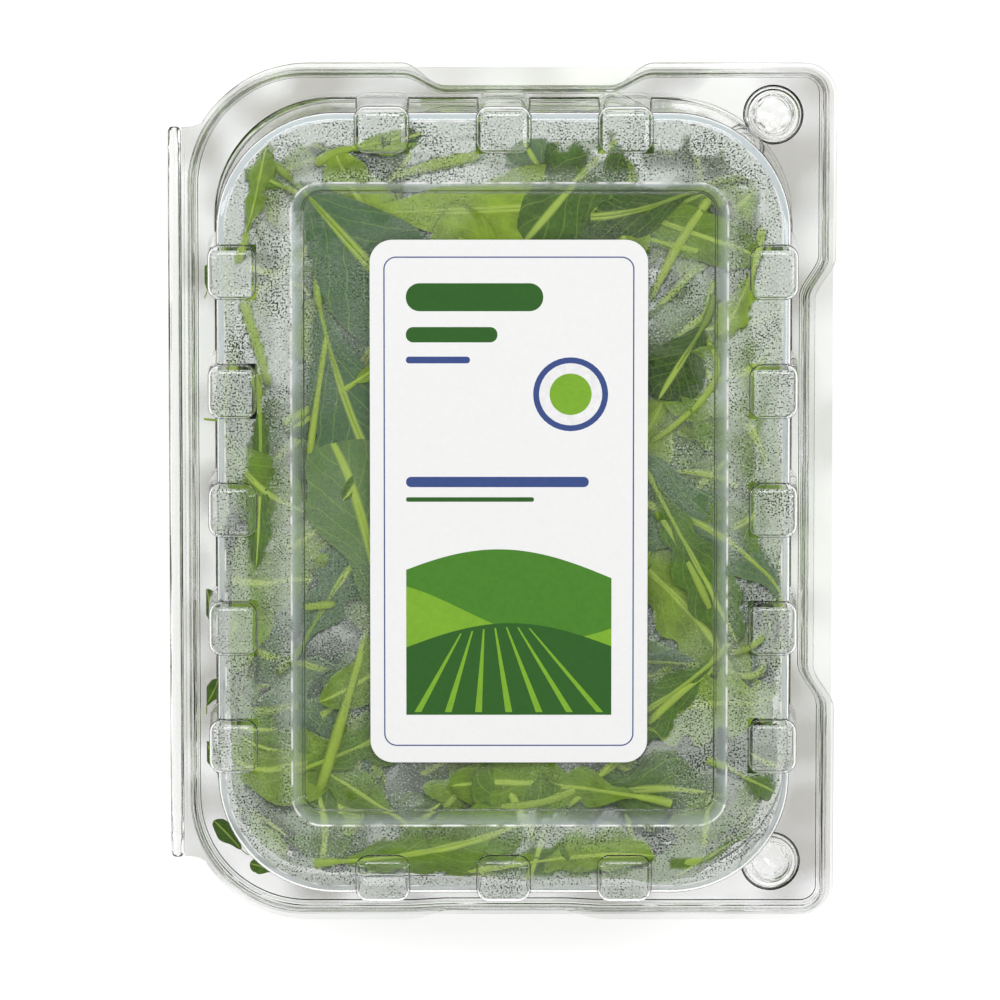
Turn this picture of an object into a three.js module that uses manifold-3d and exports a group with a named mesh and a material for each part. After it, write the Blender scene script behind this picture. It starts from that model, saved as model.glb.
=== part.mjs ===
// A clear hinged box of rocket leaves, lying shut on its tray.
// Millimetres. X runs from the hinge (-X) to the opening edge (+X), Y along the box, +Z up.
// The origin is on the surface it stands on, below the middle of the box.
import * as THREE from 'three';
import * as BufferGeometryUtils from 'three/addons/utils/BufferGeometryUtils.js';
import Module from 'manifold-3d';

const wasm = await Module();
wasm.setup();

// Driving dimensions.
const SHEET = 0.6;
const HALF_LENGTH = 95.8;
const HINGE_EDGE = -73.2;
const OPENING_EDGE = 73.2;
const PARTING_HEIGHT = 48;
const HALF_GAP = 0.15;
const MOVING_GAP = 0.35;

// Hinge bead along the left edge.
const BEAD_RADIUS = 1.5;
const BEAD_HALF_LENGTH = 81.5;
const BEAD_X = HINGE_EDGE + BEAD_RADIUS;
const BEAD_SIDES = 12;
const WEB_OVERLAP = 0.3;
const WEB_FLARE = 2.4;

// Rims of the lid and the tray.
const LID_LEFT = -69.7;
const LEFT_CORNER = 27.5;
const RIGHT_CORNER = 7.2;
const FLANGE_LEFT = -69.8;
const FLANGE_RIGHT = 72.6;
const FLANGE_HALF_LENGTH = 94.7;
const STEP_INSET = 2.6;
const STEP_INSET_LEFT = 1.9;
const STEP_SLOPE = 1.3;
const PLATEAU_TOP = -3.2;
const LEDGE_TOP = PLATEAU_TOP - SHEET - 0.4;

// Finger tabs: how far each side of the lid steps inwards, at its lip and at its step.
const NO_TABS = { top: 0, right: 0, bottom: 0 };
const LIP_TABS = { top: 5.4, right: 4.5, bottom: 2.0 };
const STEP_TABS = { top: 3.6, right: 4.2, bottom: 0.4 };
const TAB_BLEND = 9.5;
const TAB_SPANS = { top: [-21.8, 33.0], right: [-48.0, 52.8], bottom: [-21.0, 22.6] };

// Dome, recessed panel and label of the lid, measured from the parting plane.
const DOME = { left: -62.6, right: 63.3, half: 87.1, cornerLeft: 26.3, cornerRight: 26.3 };
const DOME_TOP = 15.2;
const SHOULDER = 1.9;
const PANEL = { left: -45.8, right: 49.0, half: 71.2, cornerLeft: 6.4, cornerRight: 6.4 };
const PANEL_SLOPE = 2.2;
const PANEL_TOP = 11.3;
const LABEL = { width: 60.8, length: 116.4, corner: 5, thickness: 0.3, x: 1.5, y: 0.2 };
const LABEL_GAP = 0.2;

// Square lugs round the dome.
const LUG_TOP = 17.4;
const LUG_CORNER = 3.2;
const LUG_CHAMFER = 1.1;
const SIDE_LUG = { width: 11.6, length: 13.1, leftX: -58.9, rightX: 59.3, firstY: -53.6, pitch: 26.35, count: 5 };
const END_LUG = { width: 13.0, length: 11.4, y: 83.2, firstX: -26.2, pitch: 26.55, count: 3 };

// Snap buttons in the two corners of the opening side.
const BUTTON = { x: 59.4, y: 83.6, rimRadius: 5.5, rimDepth: 0.9, cupRadius: 4.1, cupDepth: 3.8, draft: 0.4 };
const BUTTON_SIDES = 20;

// Cavity of the tray.
const CAVITY = { left: -62.4, right: 63.0, half: 86.9, cornerLeft: 25, cornerRight: 29 };
const WALL_TAPER = 5.2;
const FLOOR_ROUND = 6;

// Rocket leaves.
const LEAF_SEED = 20241;
const LEAF_THICKNESS = 0.8;
const STEM_THICKNESS = 2.2;
const CORE_INSET = 3.6;
const WALL_CLEARANCE = 0.7;
const TOP_LEAVES = 26;
const SIDE_LEAVES = 17;

// A seeded random number from 0 to 1, the same on every run.
function randomSource(seed) {
  let state = seed;
  return () => {
    state = (state * 1664525 + 1013904223) % 4294967296;
    return state / 4294967296;
  };
}

// ---- Solids -------------------------------------------------------------------------------------

function solidFromGeometry(geometry, tolerance = 1e-4) {
  const plain = geometry.index ? geometry.toNonIndexed() : geometry;
  plain.deleteAttribute('normal');
  plain.deleteAttribute('uv');
  const merged = BufferGeometryUtils.mergeVertices(plain, tolerance);
  const mesh = new wasm.Mesh({
    numProp: 3,
    vertProperties: new Float32Array(merged.attributes.position.array),
    triVerts: new Uint32Array(merged.index.array),
  });
  return new wasm.Manifold(mesh);
}

function geometryFromSolid(solid) {
  const mesh = solid.getMesh();
  const geometry = new THREE.BufferGeometry();
  geometry.setAttribute('position', new THREE.BufferAttribute(new Float32Array(mesh.vertProperties), 3));
  geometry.setIndex(new THREE.BufferAttribute(new Uint32Array(mesh.triVerts), 1));
  geometry.computeVertexNormals();
  return geometry;
}

// The main body of a solid, without the hollows sealed inside it and without loose scraps.
function mainBody(solid) {
  return solid.decompose().reduce((largest, body) => (body.volume() > largest.volume() ? body : largest));
}

// A closed body through stacked rings of equally many points, each end closed by a fan.
// A ring is a list of [x, y] with its height z. Rings that run upwards face outwards.
function loft(rings) {
  const count = rings[0].points.length;
  const positions = [];
  const indices = [];
  rings.forEach(({ points, z }) => points.forEach(([x, y]) => positions.push(x, y, z)));
  for (let level = 0; level < rings.length - 1; level += 1) {
    for (let i = 0; i < count; i += 1) {
      const next = (i + 1) % count;
      const a = level * count + i;
      const b = level * count + next;
      indices.push(a, b, b + count);
      indices.push(a, b + count, a + count);
    }
  }
  const closeEnd = (level, flip) => {
    const { points, z } = rings[level];
    const middle = positions.length / 3;
    const sum = points.reduce(([sx, sy], [x, y]) => [sx + x, sy + y], [0, 0]);
    positions.push(sum[0] / count, sum[1] / count, z);
    for (let i = 0; i < count; i += 1) {
      const a = level * count + i;
      const b = level * count + ((i + 1) % count);
      if (flip) indices.push(b, a, middle);
      else indices.push(a, b, middle);
    }
  };
  closeEnd(0, true);
  closeEnd(rings.length - 1, false);
  const geometry = new THREE.BufferGeometry();
  geometry.setAttribute('position', new THREE.Float32BufferAttribute(positions, 3));
  geometry.setIndex(indices);
  return geometry;
}

function loftSolid(rings) {
  return solidFromGeometry(loft(rings));
}

// ---- Outlines -----------------------------------------------------------------------------------

const LEFT_ARC_STEPS = 8;
const RIGHT_ARC_STEPS = 6;
const TAB_STEPS = 4;

function arcPoints(cx, cy, radius, startDegrees, steps) {
  const points = [];
  for (let i = 0; i <= steps; i += 1) {
    const angle = THREE.MathUtils.degToRad(startDegrees + (90 * i) / steps);
    points.push([cx + radius * Math.cos(angle), cy + radius * Math.sin(angle)]);
  }
  return points;
}

// Places along one side where it steps inwards and back out, as [place, depth].
function tabSteps([start, end], depth) {
  const steps = [];
  for (let i = 0; i <= TAB_STEPS; i += 1) {
    const share = i / TAB_STEPS;
    steps.push([start + TAB_BLEND * share, depth * THREE.MathUtils.smoothstep(share, 0, 1)]);
  }
  for (let i = 0; i <= TAB_STEPS; i += 1) {
    const share = i / TAB_STEPS;
    steps.push([end - TAB_BLEND * (1 - share), depth * THREE.MathUtils.smoothstep(1 - share, 0, 1)]);
  }
  return steps;
}

// A rounded rectangle, anticlockwise from above, with the same number of points for every size.
function outline({ left, right, half, cornerLeft, cornerRight }, tabs = NO_TABS) {
  const points = [];
  tabSteps(TAB_SPANS.bottom, tabs.bottom).forEach(([x, depth]) => points.push([x, -half + depth]));
  points.push(...arcPoints(right - cornerRight, -half + cornerRight, cornerRight, -90, RIGHT_ARC_STEPS));
  tabSteps(TAB_SPANS.right, tabs.right).forEach(([y, depth]) => points.push([right - depth, y]));
  points.push(...arcPoints(right - cornerRight, half - cornerRight, cornerRight, 0, RIGHT_ARC_STEPS));
  tabSteps(TAB_SPANS.top, tabs.top).reverse().forEach(([x, depth]) => points.push([x, half - depth]));
  points.push(...arcPoints(left + cornerLeft, half - cornerLeft, cornerLeft, 90, LEFT_ARC_STEPS));
  points.push(...arcPoints(left + cornerLeft, -half + cornerLeft, cornerLeft, 180, LEFT_ARC_STEPS));
  return points;
}

function inset(box, amount, amountLeft = amount) {
  return {
    left: box.left + amountLeft,
    right: box.right - amount,
    half: box.half - amount,
    cornerLeft: box.cornerLeft - amount,
    cornerRight: Math.max(box.cornerRight - amount, 1.5),
  };
}

const LIP = {
  left: LID_LEFT,
  right: OPENING_EDGE,
  half: HALF_LENGTH,
  cornerLeft: LEFT_CORNER,
  cornerRight: RIGHT_CORNER,
};
const FLANGE = {
  left: FLANGE_LEFT,
  right: FLANGE_RIGHT,
  half: FLANGE_HALF_LENGTH,
  cornerLeft: LEFT_CORNER - 1,
  cornerRight: RIGHT_CORNER - 0.8,
};

// The outline of the step between lip and plateau, moved outwards by some amount.
function stepOutline(slope, outwards) {
  const amount = STEP_INSET + slope - outwards;
  const amountLeft = STEP_INSET_LEFT + slope - outwards;
  return outline(inset(LIP, amount, amountLeft), STEP_TABS);
}

function ring(points, height) {
  return { points, z: PARTING_HEIGHT + height };
}

// ---- Small solids -------------------------------------------------------------------------------

// A square block with rounded corners, its upper edge bevelled.
function lugSolid(width, length, bottom, top, shrink) {
  const blockOutline = (reduce) => {
    const halfX = width / 2 - reduce;
    const halfY = length / 2 - reduce;
    const corner = Math.max(LUG_CORNER - reduce, 1);
    const steps = 3;
    return [
      ...arcPoints(halfX - corner, halfY - corner, corner, 0, steps),
      ...arcPoints(-halfX + corner, halfY - corner, corner, 90, steps),
      ...arcPoints(-halfX + corner, -halfY + corner, corner, 180, steps),
      ...arcPoints(halfX - corner, -halfY + corner, corner, 270, steps),
    ];
  };
  return loftSolid([
    ring(blockOutline(shrink), bottom),
    ring(blockOutline(shrink), top - LUG_CHAMFER),
    ring(blockOutline(shrink + LUG_CHAMFER), top),
  ]);
}

function circle(radius, sides) {
  return Array.from({ length: sides }, (_, i) => {
    const angle = (2 * Math.PI * i) / sides;
    return [radius * Math.cos(angle), radius * Math.sin(angle)];
  });
}

// The stepped cup of a snap button, grown by some amount on every side.
function buttonSolid(surface, grow) {
  const rim = BUTTON.rimRadius + grow;
  const cup = BUTTON.cupRadius + grow;
  const rimFloor = surface - BUTTON.rimDepth;
  const cupFloor = surface - BUTTON.cupDepth;
  const above = 3;
  return loftSolid([
    ring(circle(cup - BUTTON.draft, BUTTON_SIDES), cupFloor),
    ring(circle(cup, BUTTON_SIDES), rimFloor),
    ring(circle(rim - BUTTON.draft, BUTTON_SIDES), rimFloor),
    ring(circle(rim, BUTTON_SIDES), surface),
    ring(circle(rim, BUTTON_SIDES), surface + above),
  ]);
}

// The places of all lugs as { x, y, width, length }.
function lugPlaces() {
  const places = [];
  for (let i = 0; i < SIDE_LUG.count; i += 1) {
    const y = SIDE_LUG.firstY + SIDE_LUG.pitch * i;
    [SIDE_LUG.leftX, SIDE_LUG.rightX].forEach((x) => places.push({ ...SIDE_LUG, x, y }));
  }
  for (let i = 0; i < END_LUG.count; i += 1) {
    const x = END_LUG.firstX + END_LUG.pitch * i;
    [-END_LUG.y, END_LUG.y].forEach((y) => places.push({ ...END_LUG, x, y }));
  }
  return places;
}

// The flat web between the hinge bead and a rim, from x = edge to just inside the rim's left side.
// Its ends flare into the rim's corner arcs.
function webSolid(rim, edge, bottom) {
  const centreX = rim.left + rim.cornerLeft;
  const centreY = rim.half - rim.cornerLeft;
  const radius = rim.cornerLeft - WEB_OVERLAP;
  const reach = BEAD_HALF_LENGTH + WEB_FLARE - centreY;
  const steps = 6;
  const upperArc = Array.from({ length: steps + 1 }, (_, i) => {
    const angle = (Math.asin(reach / radius) * i) / steps;
    return [centreX - radius * Math.cos(angle), centreY + radius * Math.sin(angle)];
  });
  const flareStart = 2.5;
  const flareRise = 0.3;
  const upper = [
    ...upperArc,
    [edge + flareStart, BEAD_HALF_LENGTH + flareRise],
    [edge, BEAD_HALF_LENGTH],
  ];
  const lower = upper.map(([x, y]) => [x, -y]).reverse();
  const shape = new THREE.Shape([...upper, ...lower].map(([x, y]) => new THREE.Vector2(x, y)));
  const geometry = new THREE.ExtrudeGeometry(shape, { depth: SHEET, bevelEnabled: false });
  geometry.translate(0, 0, PARTING_HEIGHT + bottom);
  return solidFromGeometry(geometry);
}

function beadSolid() {
  const geometry = new THREE.CylinderGeometry(BEAD_RADIUS, BEAD_RADIUS, 2 * BEAD_HALF_LENGTH, BEAD_SIDES);
  geometry.rotateY(Math.PI / 2);
  geometry.translate(BEAD_X, 0, PARTING_HEIGHT);
  return solidFromGeometry(geometry);
}

// ---- Lid ----------------------------------------------------------------------------------------

// The lid is a formed sheet: the space under its upper face, less the space under its lower face.
function lidSolid() {
  const lipTop = HALF_GAP + SHEET;
  const below = -12;
  const shoulder = (box, top, grow) => [
    ring(outline(inset(box, 0.2 + grow)), top - SHOULDER),
    ring(outline(inset(box, 0.75 + grow)), top - 0.55),
    ring(outline(inset(box, 1.9 + grow)), top),
  ];
  let upper = loftSolid([
    ring(outline(LIP, LIP_TABS), below),
    ring(outline(LIP, LIP_TABS), lipTop),
    ring(stepOutline(0, 0), lipTop),
    ring(stepOutline(STEP_SLOPE, 0), PLATEAU_TOP),
    ring(outline(DOME), PLATEAU_TOP),
    ...shoulder(DOME, DOME_TOP, 0),
    ring(outline(PANEL), DOME_TOP),
    ring(outline(inset(PANEL, PANEL_SLOPE)), PANEL_TOP),
  ]);
  const outside = -3;
  let lower = loftSolid([
    ring(outline(inset(LIP, outside), LIP_TABS), below - 1),
    ring(outline(inset(LIP, outside), LIP_TABS), HALF_GAP),
    ring(stepOutline(0, SHEET * 0.9), HALF_GAP),
    ring(stepOutline(STEP_SLOPE, SHEET * 0.9), PLATEAU_TOP - SHEET),
    ring(outline(inset(DOME, SHEET)), PLATEAU_TOP - SHEET),
    ...shoulder(DOME, DOME_TOP - SHEET, SHEET * 0.8),
    ring(outline(inset(PANEL, -SHEET * 0.7)), DOME_TOP - SHEET),
    ring(outline(inset(PANEL, PANEL_SLOPE - SHEET * 0.7)), PANEL_TOP - SHEET),
  ]);
  lugPlaces().forEach(({ x, y, width, length }) => {
    upper = upper.add(lugSolid(width, length, below + 1, LUG_TOP, 0).translate([x, y, 0]));
    lower = lower.add(lugSolid(width, length, below - 1, LUG_TOP - SHEET, SHEET).translate([x, y, 0]));
  });
  [-BUTTON.y, BUTTON.y].forEach((y) => {
    upper = upper.subtract(buttonSolid(PLATEAU_TOP, 0).translate([BUTTON.x, y, 0]));
    lower = lower.subtract(buttonSolid(PLATEAU_TOP - SHEET, SHEET).translate([BUTTON.x, y, 0]));
  });
  return upper.subtract(lower).add(webSolid(LIP, BEAD_X, HALF_GAP)).add(beadSolid());
}

// ---- Tray ---------------------------------------------------------------------------------------

function cavityInset(height) {
  return (WALL_TAPER * (LEDGE_TOP - height)) / (LEDGE_TOP + PARTING_HEIGHT);
}

function traySolid() {
  const flangeTop = -HALF_GAP;
  const floorTop = SHEET - PARTING_HEIGHT;
  const roundStart = floorTop + FLOOR_ROUND;
  const clear = SHEET * 0.9 + MOVING_GAP;
  const cavity = (extra, height) => ring(outline(inset(CAVITY, extra)), height);
  const inner = [
    cavity(cavityInset(floorTop) + 6, floorTop),
    cavity(cavityInset(floorTop) + 2.2, floorTop + 1.6),
    cavity(cavityInset(roundStart), roundStart),
    cavity(0, LEDGE_TOP),
    ring(stepOutline(STEP_SLOPE, clear), LEDGE_TOP),
    ring(stepOutline(0, clear), flangeTop),
  ];
  const outer = [
    cavity(cavityInset(floorTop) + 6 - SHEET * 0.4, floorTop - SHEET),
    cavity(cavityInset(floorTop) + 2.2 - SHEET * 0.8, floorTop + 1.6 - SHEET * 0.8),
    cavity(cavityInset(roundStart) - SHEET, roundStart - SHEET * 0.4),
    cavity(-SHEET, LEDGE_TOP - SHEET),
    ring(stepOutline(STEP_SLOPE, clear + SHEET), LEDGE_TOP - SHEET),
    ring(stepOutline(0, clear + SHEET * 0.4), flangeTop - SHEET),
    ring(outline(FLANGE), flangeTop - SHEET),
    ring(outline(FLANGE), flangeTop),
  ];
  // The hollow is the space above the inner face, carried up past the flange.
  const above = 5;
  const opening = ring(stepOutline(0, clear), flangeTop + above);
  let body = loftSolid(outer);
  let hollow = loftSolid([...inner, opening]);
  [-BUTTON.y, BUTTON.y].forEach((y) => {
    const clearance = SHEET + MOVING_GAP;
    body = body.add(buttonSolid(LEDGE_TOP - SHEET, clearance + SHEET).translate([BUTTON.x, y, 0])
      .intersect(belowPlane(LEDGE_TOP)));
    hollow = hollow.add(buttonSolid(LEDGE_TOP, clearance).translate([BUTTON.x, y, 0]));
  });
  return body.subtract(hollow).add(webSolid(FLANGE, FLANGE_LEFT, flangeTop - SHEET));
}

// Everything below one height, for trimming.
function belowPlane(height) {
  const size = 400;
  const geometry = new THREE.BoxGeometry(size, size, size);
  geometry.translate(0, 0, PARTING_HEIGHT + height - size / 2);
  return solidFromGeometry(geometry);
}

// ---- Label --------------------------------------------------------------------------------------

function labelSolid() {
  const { width, length, corner, thickness, x, y } = LABEL;
  const halfX = width / 2;
  const halfY = length / 2;
  const steps = 5;
  const points = [
    ...arcPoints(halfX - corner, halfY - corner, corner, 0, steps),
    ...arcPoints(-halfX + corner, halfY - corner, corner, 90, steps),
    ...arcPoints(-halfX + corner, -halfY + corner, corner, 180, steps),
    ...arcPoints(halfX - corner, -halfY + corner, corner, 270, steps),
  ].map(([px, py]) => [px + x, py + y]);
  const bottom = PANEL_TOP + LABEL_GAP;
  return loftSolid([ring(points, bottom), ring(points, bottom + thickness)]);
}

// ---- Rocket leaves ------------------------------------------------------------------------------

// The rounded rectangle that lies inside two others.
function narrower(first, second) {
  return {
    left: Math.max(first.left, second.left),
    right: Math.min(first.right, second.right),
    half: Math.min(first.half, second.half),
    cornerLeft: Math.max(first.cornerLeft, second.cornerLeft),
    cornerRight: Math.max(first.cornerRight, second.cornerRight),
  };
}

// The side walls at one height, moved inwards: the tray's cavity, and above its rim the dome too.
function wallOutline(height, depth) {
  const mouth = narrower(inset(DOME, SHEET), CAVITY);
  const box = height > LEDGE_TOP ? mouth : inset(CAVITY, cavityInset(height));
  return inset(box, WALL_CLEARANCE + depth);
}

// How far a point lies outside a rectangle, negative inside it.
function outsideBy(x, y, box) {
  return Math.max(box.left - x, x - box.right, Math.abs(y) - box.half);
}

// The height of the lid's underside, less the clearance, eased down to the recessed panel.
function ceilingAt(x, y) {
  const easeStart = 1;
  const easeWidth = 6;
  const share = THREE.MathUtils.clamp((outsideBy(x, y, PANEL) - easeStart) / easeWidth, 0, 1);
  return THREE.MathUtils.lerp(PANEL_TOP, DOME_TOP, share) - SHEET - WALL_CLEARANCE;
}

// Pulls a point inside a rounded rectangle.
function clampInside(x, y, box) {
  const corner = x > 0 ? box.cornerRight : box.cornerLeft;
  const cornerX = x > 0 ? box.right - corner : box.left + corner;
  const cornerY = Math.sign(y) * (box.half - corner);
  const clampedX = THREE.MathUtils.clamp(x, box.left, box.right);
  const clampedY = THREE.MathUtils.clamp(y, -box.half, box.half);
  const awayX = Math.max((clampedX - cornerX) * Math.sign(x), 0);
  const awayY = Math.max((clampedY - cornerY) * Math.sign(y), 0);
  const away = Math.hypot(awayX, awayY);
  if (away <= corner || awayX === 0 || awayY === 0) return [clampedX, clampedY];
  const scale = corner / away;
  return [cornerX + Math.sign(x) * awayX * scale, cornerY + Math.sign(y) * awayY * scale];
}

// Lays a point under the lid at some depth. Past the walls it turns down along them.
function draped(x, y, depth) {
  const shoulderRoom = 2.5;
  const [px, py] = clampInside(x, y, wallOutline(0, depth + shoulderRoom));
  const past = Math.hypot(x - px, y - py);
  const height = ceilingAt(px, py) - depth - past;
  return new THREE.Vector3(px, py, PARTING_HEIGHT + height);
}

// The way out of the heap at a point, from the nearest point of a flat plate in its middle.
function outwardsAt(point) {
  const plate = { halfX: 35, halfY: 60, z: 30 };
  const nearest = new THREE.Vector3(
    THREE.MathUtils.clamp(point.x, -plate.halfX, plate.halfX),
    THREE.MathUtils.clamp(point.y, -plate.halfY, plate.halfY),
    plate.z,
  );
  return point.clone().sub(nearest).normalize();
}

// Half widths of a lobed rocket leaf from its stem to its tip, as shares of its half width.
const LEAF_PROFILE = [0.07, 0.08, 0.09, 0.6, 0.24, 0.8, 0.5, 1.0, 0.75, 0.12];
const LEAF_PLACES = [0, 0.16, 0.32, 0.41, 0.5, 0.59, 0.67, 0.79, 0.91, 1];
const STEM_STATIONS = 3;

// One leaf: a thin wavy solid whose two faces are split alike. place(along, across, lift) puts a
// point of the flat leaf where it lies.
function leafSolid(length, width, wave, phase, place) {
  const positions = [];
  const indices = [];
  const last = LEAF_PROFILE.length - 1;
  LEAF_PROFILE.forEach((share, i) => {
    const along = LEAF_PLACES[i] * length;
    const halfWidth = (share * width) / 2;
    const thickness = i < STEM_STATIONS ? STEM_THICKNESS : LEAF_THICKNESS;
    [-1, 0, 1].forEach((side) => {
      const ripple = 1 + Math.sin(phase + 2.2 * i) + Math.abs(side) * Math.sin(phase + 1.7 * i + side);
      const middle = place(along, side * halfWidth, (wave * ripple) / 2);
      const outwards = outwardsAt(middle);
      [1, -1].forEach((face) => {
        const point = middle.clone().addScaledVector(outwards, (face * thickness) / 2);
        positions.push(point.x, point.y, point.z);
      });
    });
  });
  const at = (station, side, face) => station * 6 + side * 2 + face;
  const quad = (a, b, c, d) => indices.push(a, c, b, a, d, c);
  for (let i = 0; i < last; i += 1) {
    for (let side = 0; side < 2; side += 1) {
      quad(at(i, side, 0), at(i, side + 1, 0), at(i + 1, side + 1, 0), at(i + 1, side, 0));
      quad(at(i + 1, side, 1), at(i + 1, side + 1, 1), at(i, side + 1, 1), at(i, side, 1));
    }
    quad(at(i, 0, 1), at(i, 0, 0), at(i + 1, 0, 0), at(i + 1, 0, 1));
    quad(at(i + 1, 2, 1), at(i + 1, 2, 0), at(i, 2, 0), at(i, 2, 1));
  }
  [0, 1].forEach((side) => {
    quad(at(0, side, 1), at(0, side + 1, 1), at(0, side + 1, 0), at(0, side, 0));
    quad(at(last, side, 0), at(last, side + 1, 0), at(last, side + 1, 1), at(last, side, 1));
  });
  const geometry = new THREE.BufferGeometry();
  geometry.setAttribute('position', new THREE.Float32BufferAttribute(positions, 3));
  geometry.setIndex(indices);
  return solidFromGeometry(geometry);
}

// The packed middle of the heap, a little uneven, inside all the leaves that show.
function coreSolid() {
  const heights = [
    { z: SHEET + WALL_CLEARANCE - PARTING_HEIGHT, depth: 8 },
    { z: 8 - PARTING_HEIGHT, depth: CORE_INSET },
    { z: 26 - PARTING_HEIGHT, depth: CORE_INSET },
    { z: LEDGE_TOP - 2, depth: CORE_INSET },
    { z: LEDGE_TOP + 9, depth: CORE_INSET + 1.5 },
    { z: PANEL_TOP - CORE_INSET, depth: 10 },
  ];
  return loftSolid(heights.map(({ z, depth }, level) => {
    const points = outline(wallOutline(z, depth)).map(([x, y], i) => {
      const uneven = 1 - 0.008 * (1 + Math.sin(i * 0.9 + level * 2.1));
      return [x * uneven, y * uneven];
    });
    return ring(points, z);
  }));
}

// A leaf lying under the lid, its stem end dipping into the core.
function topLeaf(random, x, y, turn) {
  const length = 46 + 24 * random();
  const width = 17 + 9 * random();
  const depth = 0.9 + 2.0 * random();
  const bend = (random() - 0.5) * 0.02;
  const wave = 0.6 + 0.8 * random();
  const dip = 6;
  return leafSolid(length, width, wave, 6 * random(), (along, across, ripple) => {
    const s = along - length / 2;
    const side = across + bend * s * s;
    const px = x + s * Math.cos(turn) - side * Math.sin(turn);
    const py = y + s * Math.sin(turn) + side * Math.cos(turn);
    return draped(px, py, depth + ripple + dip * (1 - along / length) ** 2);
  });
}

// A leaf lying against a side wall of the tray, turned at some angle to the upright.
function sideLeaf(random, share, tilt) {
  const length = 34 + 12 * random();
  const width = 16 + 6 * random();
  const depth = 0.9 + 1.2 * random();
  const wave = 0.5 + 0.6 * random();
  const dip = 5;
  const lowest = 5 - PARTING_HEIGHT;
  const middle = (lowest + LEDGE_TOP) / 2 + 6 * (random() - 0.5);
  return leafSolid(length, width, wave, 6 * random(), (along, across, ripple) => {
    const s = along - length / 2;
    const level = middle + s * Math.sin(tilt) + across * Math.cos(tilt);
    const run = s * Math.cos(tilt) - across * Math.sin(tilt);
    const under = Math.max(lowest - level, 0);
    const inwards = depth + ripple + dip * (1 - along / length) ** 2 + 2 * under;
    const height = Math.max(level, lowest - 1.5);
    const [px, py] = alongOutline(wallOutline(height, inwards), share, run);
    return new THREE.Vector3(px, py, PARTING_HEIGHT + height);
  });
}

// The point a given run along a rounded rectangle from a share of its way round.
function alongOutline(box, share, run) {
  const curve = new THREE.CurvePath();
  const points = outline(box).map(([x, y]) => new THREE.Vector3(x, y, 0));
  points.forEach((point, i) => curve.add(new THREE.LineCurve3(point, points[(i + 1) % points.length])));
  const total = curve.getLength();
  const at = curve.getPointAt(((share + run / total) % 1 + 1) % 1);
  return [at.x, at.y];
}

function heapSolid() {
  const random = randomSource(LEAF_SEED);
  let heap = coreSolid();
  const columns = 4;
  for (let i = 0; i < TOP_LEAVES; i += 1) {
    const column = i % columns;
    const row = Math.floor(i / columns);
    const rows = Math.ceil(TOP_LEAVES / columns);
    const x = -44 + (88 * (column + 0.2 + 0.6 * random())) / columns;
    const y = -70 + (140 * (row + 0.2 + 0.6 * random())) / rows;
    heap = heap.add(topLeaf(random, x, y, 2 * Math.PI * random()));
  }
  for (let i = 0; i < SIDE_LEAVES; i += 1) {
    const share = (i + 0.3 * random()) / SIDE_LEAVES;
    heap = heap.add(sideLeaf(random, share, Math.PI * random()));
  }
  // Edges shorter than this are closed up. Narrow necks close with them, so the hollows that this
  // seals off are dropped afterwards.
  const shortest = 0.04;
  for (let pass = 0; pass < 2; pass += 1) {
    heap = mainBody(solidFromGeometry(geometryFromSolid(mainBody(heap).simplify(shortest)), 1e-3));
  }
  return heap;
}

// ---- The box ------------------------------------------------------------------------------------

const CLEAR_PLASTIC = { color: 0xe9eeec, roughness: 0.08, metalness: 0, transparent: true, opacity: 0.35 };
const PRINTED_LABEL = { color: 0xf4f4f5, roughness: 0.45, metalness: 0 };
const ROCKET_GREEN = { color: 0x4f7d26, roughness: 0.5, metalness: 0 };

const box = new THREE.Group();

function addPart(name, solid, material) {
  const mesh = new THREE.Mesh(geometryFromSolid(solid), new THREE.MeshStandardMaterial(material));
  mesh.name = name;
  box.add(mesh);
}

addPart('base_tray', traySolid(), CLEAR_PLASTIC);
addPart('lid_shell', lidSolid(), CLEAR_PLASTIC);
addPart('label', labelSolid(), PRINTED_LABEL);
addPart('rocket_leaves', heapSolid(), ROCKET_GREEN);

export default box;
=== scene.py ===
import math

import bpy
import numpy as np
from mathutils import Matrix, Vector, noise
from mathutils.bvhtree import BVHTree


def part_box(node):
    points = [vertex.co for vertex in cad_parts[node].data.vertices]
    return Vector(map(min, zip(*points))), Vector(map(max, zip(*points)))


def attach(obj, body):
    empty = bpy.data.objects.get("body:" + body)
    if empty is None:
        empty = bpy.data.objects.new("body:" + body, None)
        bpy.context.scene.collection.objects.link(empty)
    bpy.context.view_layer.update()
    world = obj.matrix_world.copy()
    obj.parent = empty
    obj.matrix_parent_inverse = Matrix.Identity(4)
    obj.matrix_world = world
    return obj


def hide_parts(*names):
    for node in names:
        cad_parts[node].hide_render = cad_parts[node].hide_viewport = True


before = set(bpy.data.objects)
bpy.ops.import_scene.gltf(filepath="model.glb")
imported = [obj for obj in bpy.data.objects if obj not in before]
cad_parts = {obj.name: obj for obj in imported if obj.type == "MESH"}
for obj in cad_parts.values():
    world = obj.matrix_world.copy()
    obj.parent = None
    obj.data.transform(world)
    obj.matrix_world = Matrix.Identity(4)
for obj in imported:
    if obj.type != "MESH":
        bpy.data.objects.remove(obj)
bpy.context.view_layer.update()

# Sizes are millimetres here and become metres when a mesh is made. Heights of the lid and the rim
# are counted from the parting plane, where the lid meets the tray.
MM = 0.001
LIP_GAP = 0.15
MOVING_GAP = 0.35
SHEET = 0.4
tray_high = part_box("base_tray")[1]
lid_low, lid_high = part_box("lid_shell")
PARTING = round(tray_high.z / MM + LIP_GAP, 2)
HALF_LENGTH = lid_high.y / MM
HINGE_EDGE = lid_low.x / MM
OPENING_EDGE = lid_high.x / MM
LUG_TOP = lid_high.z / MM - PARTING

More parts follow.
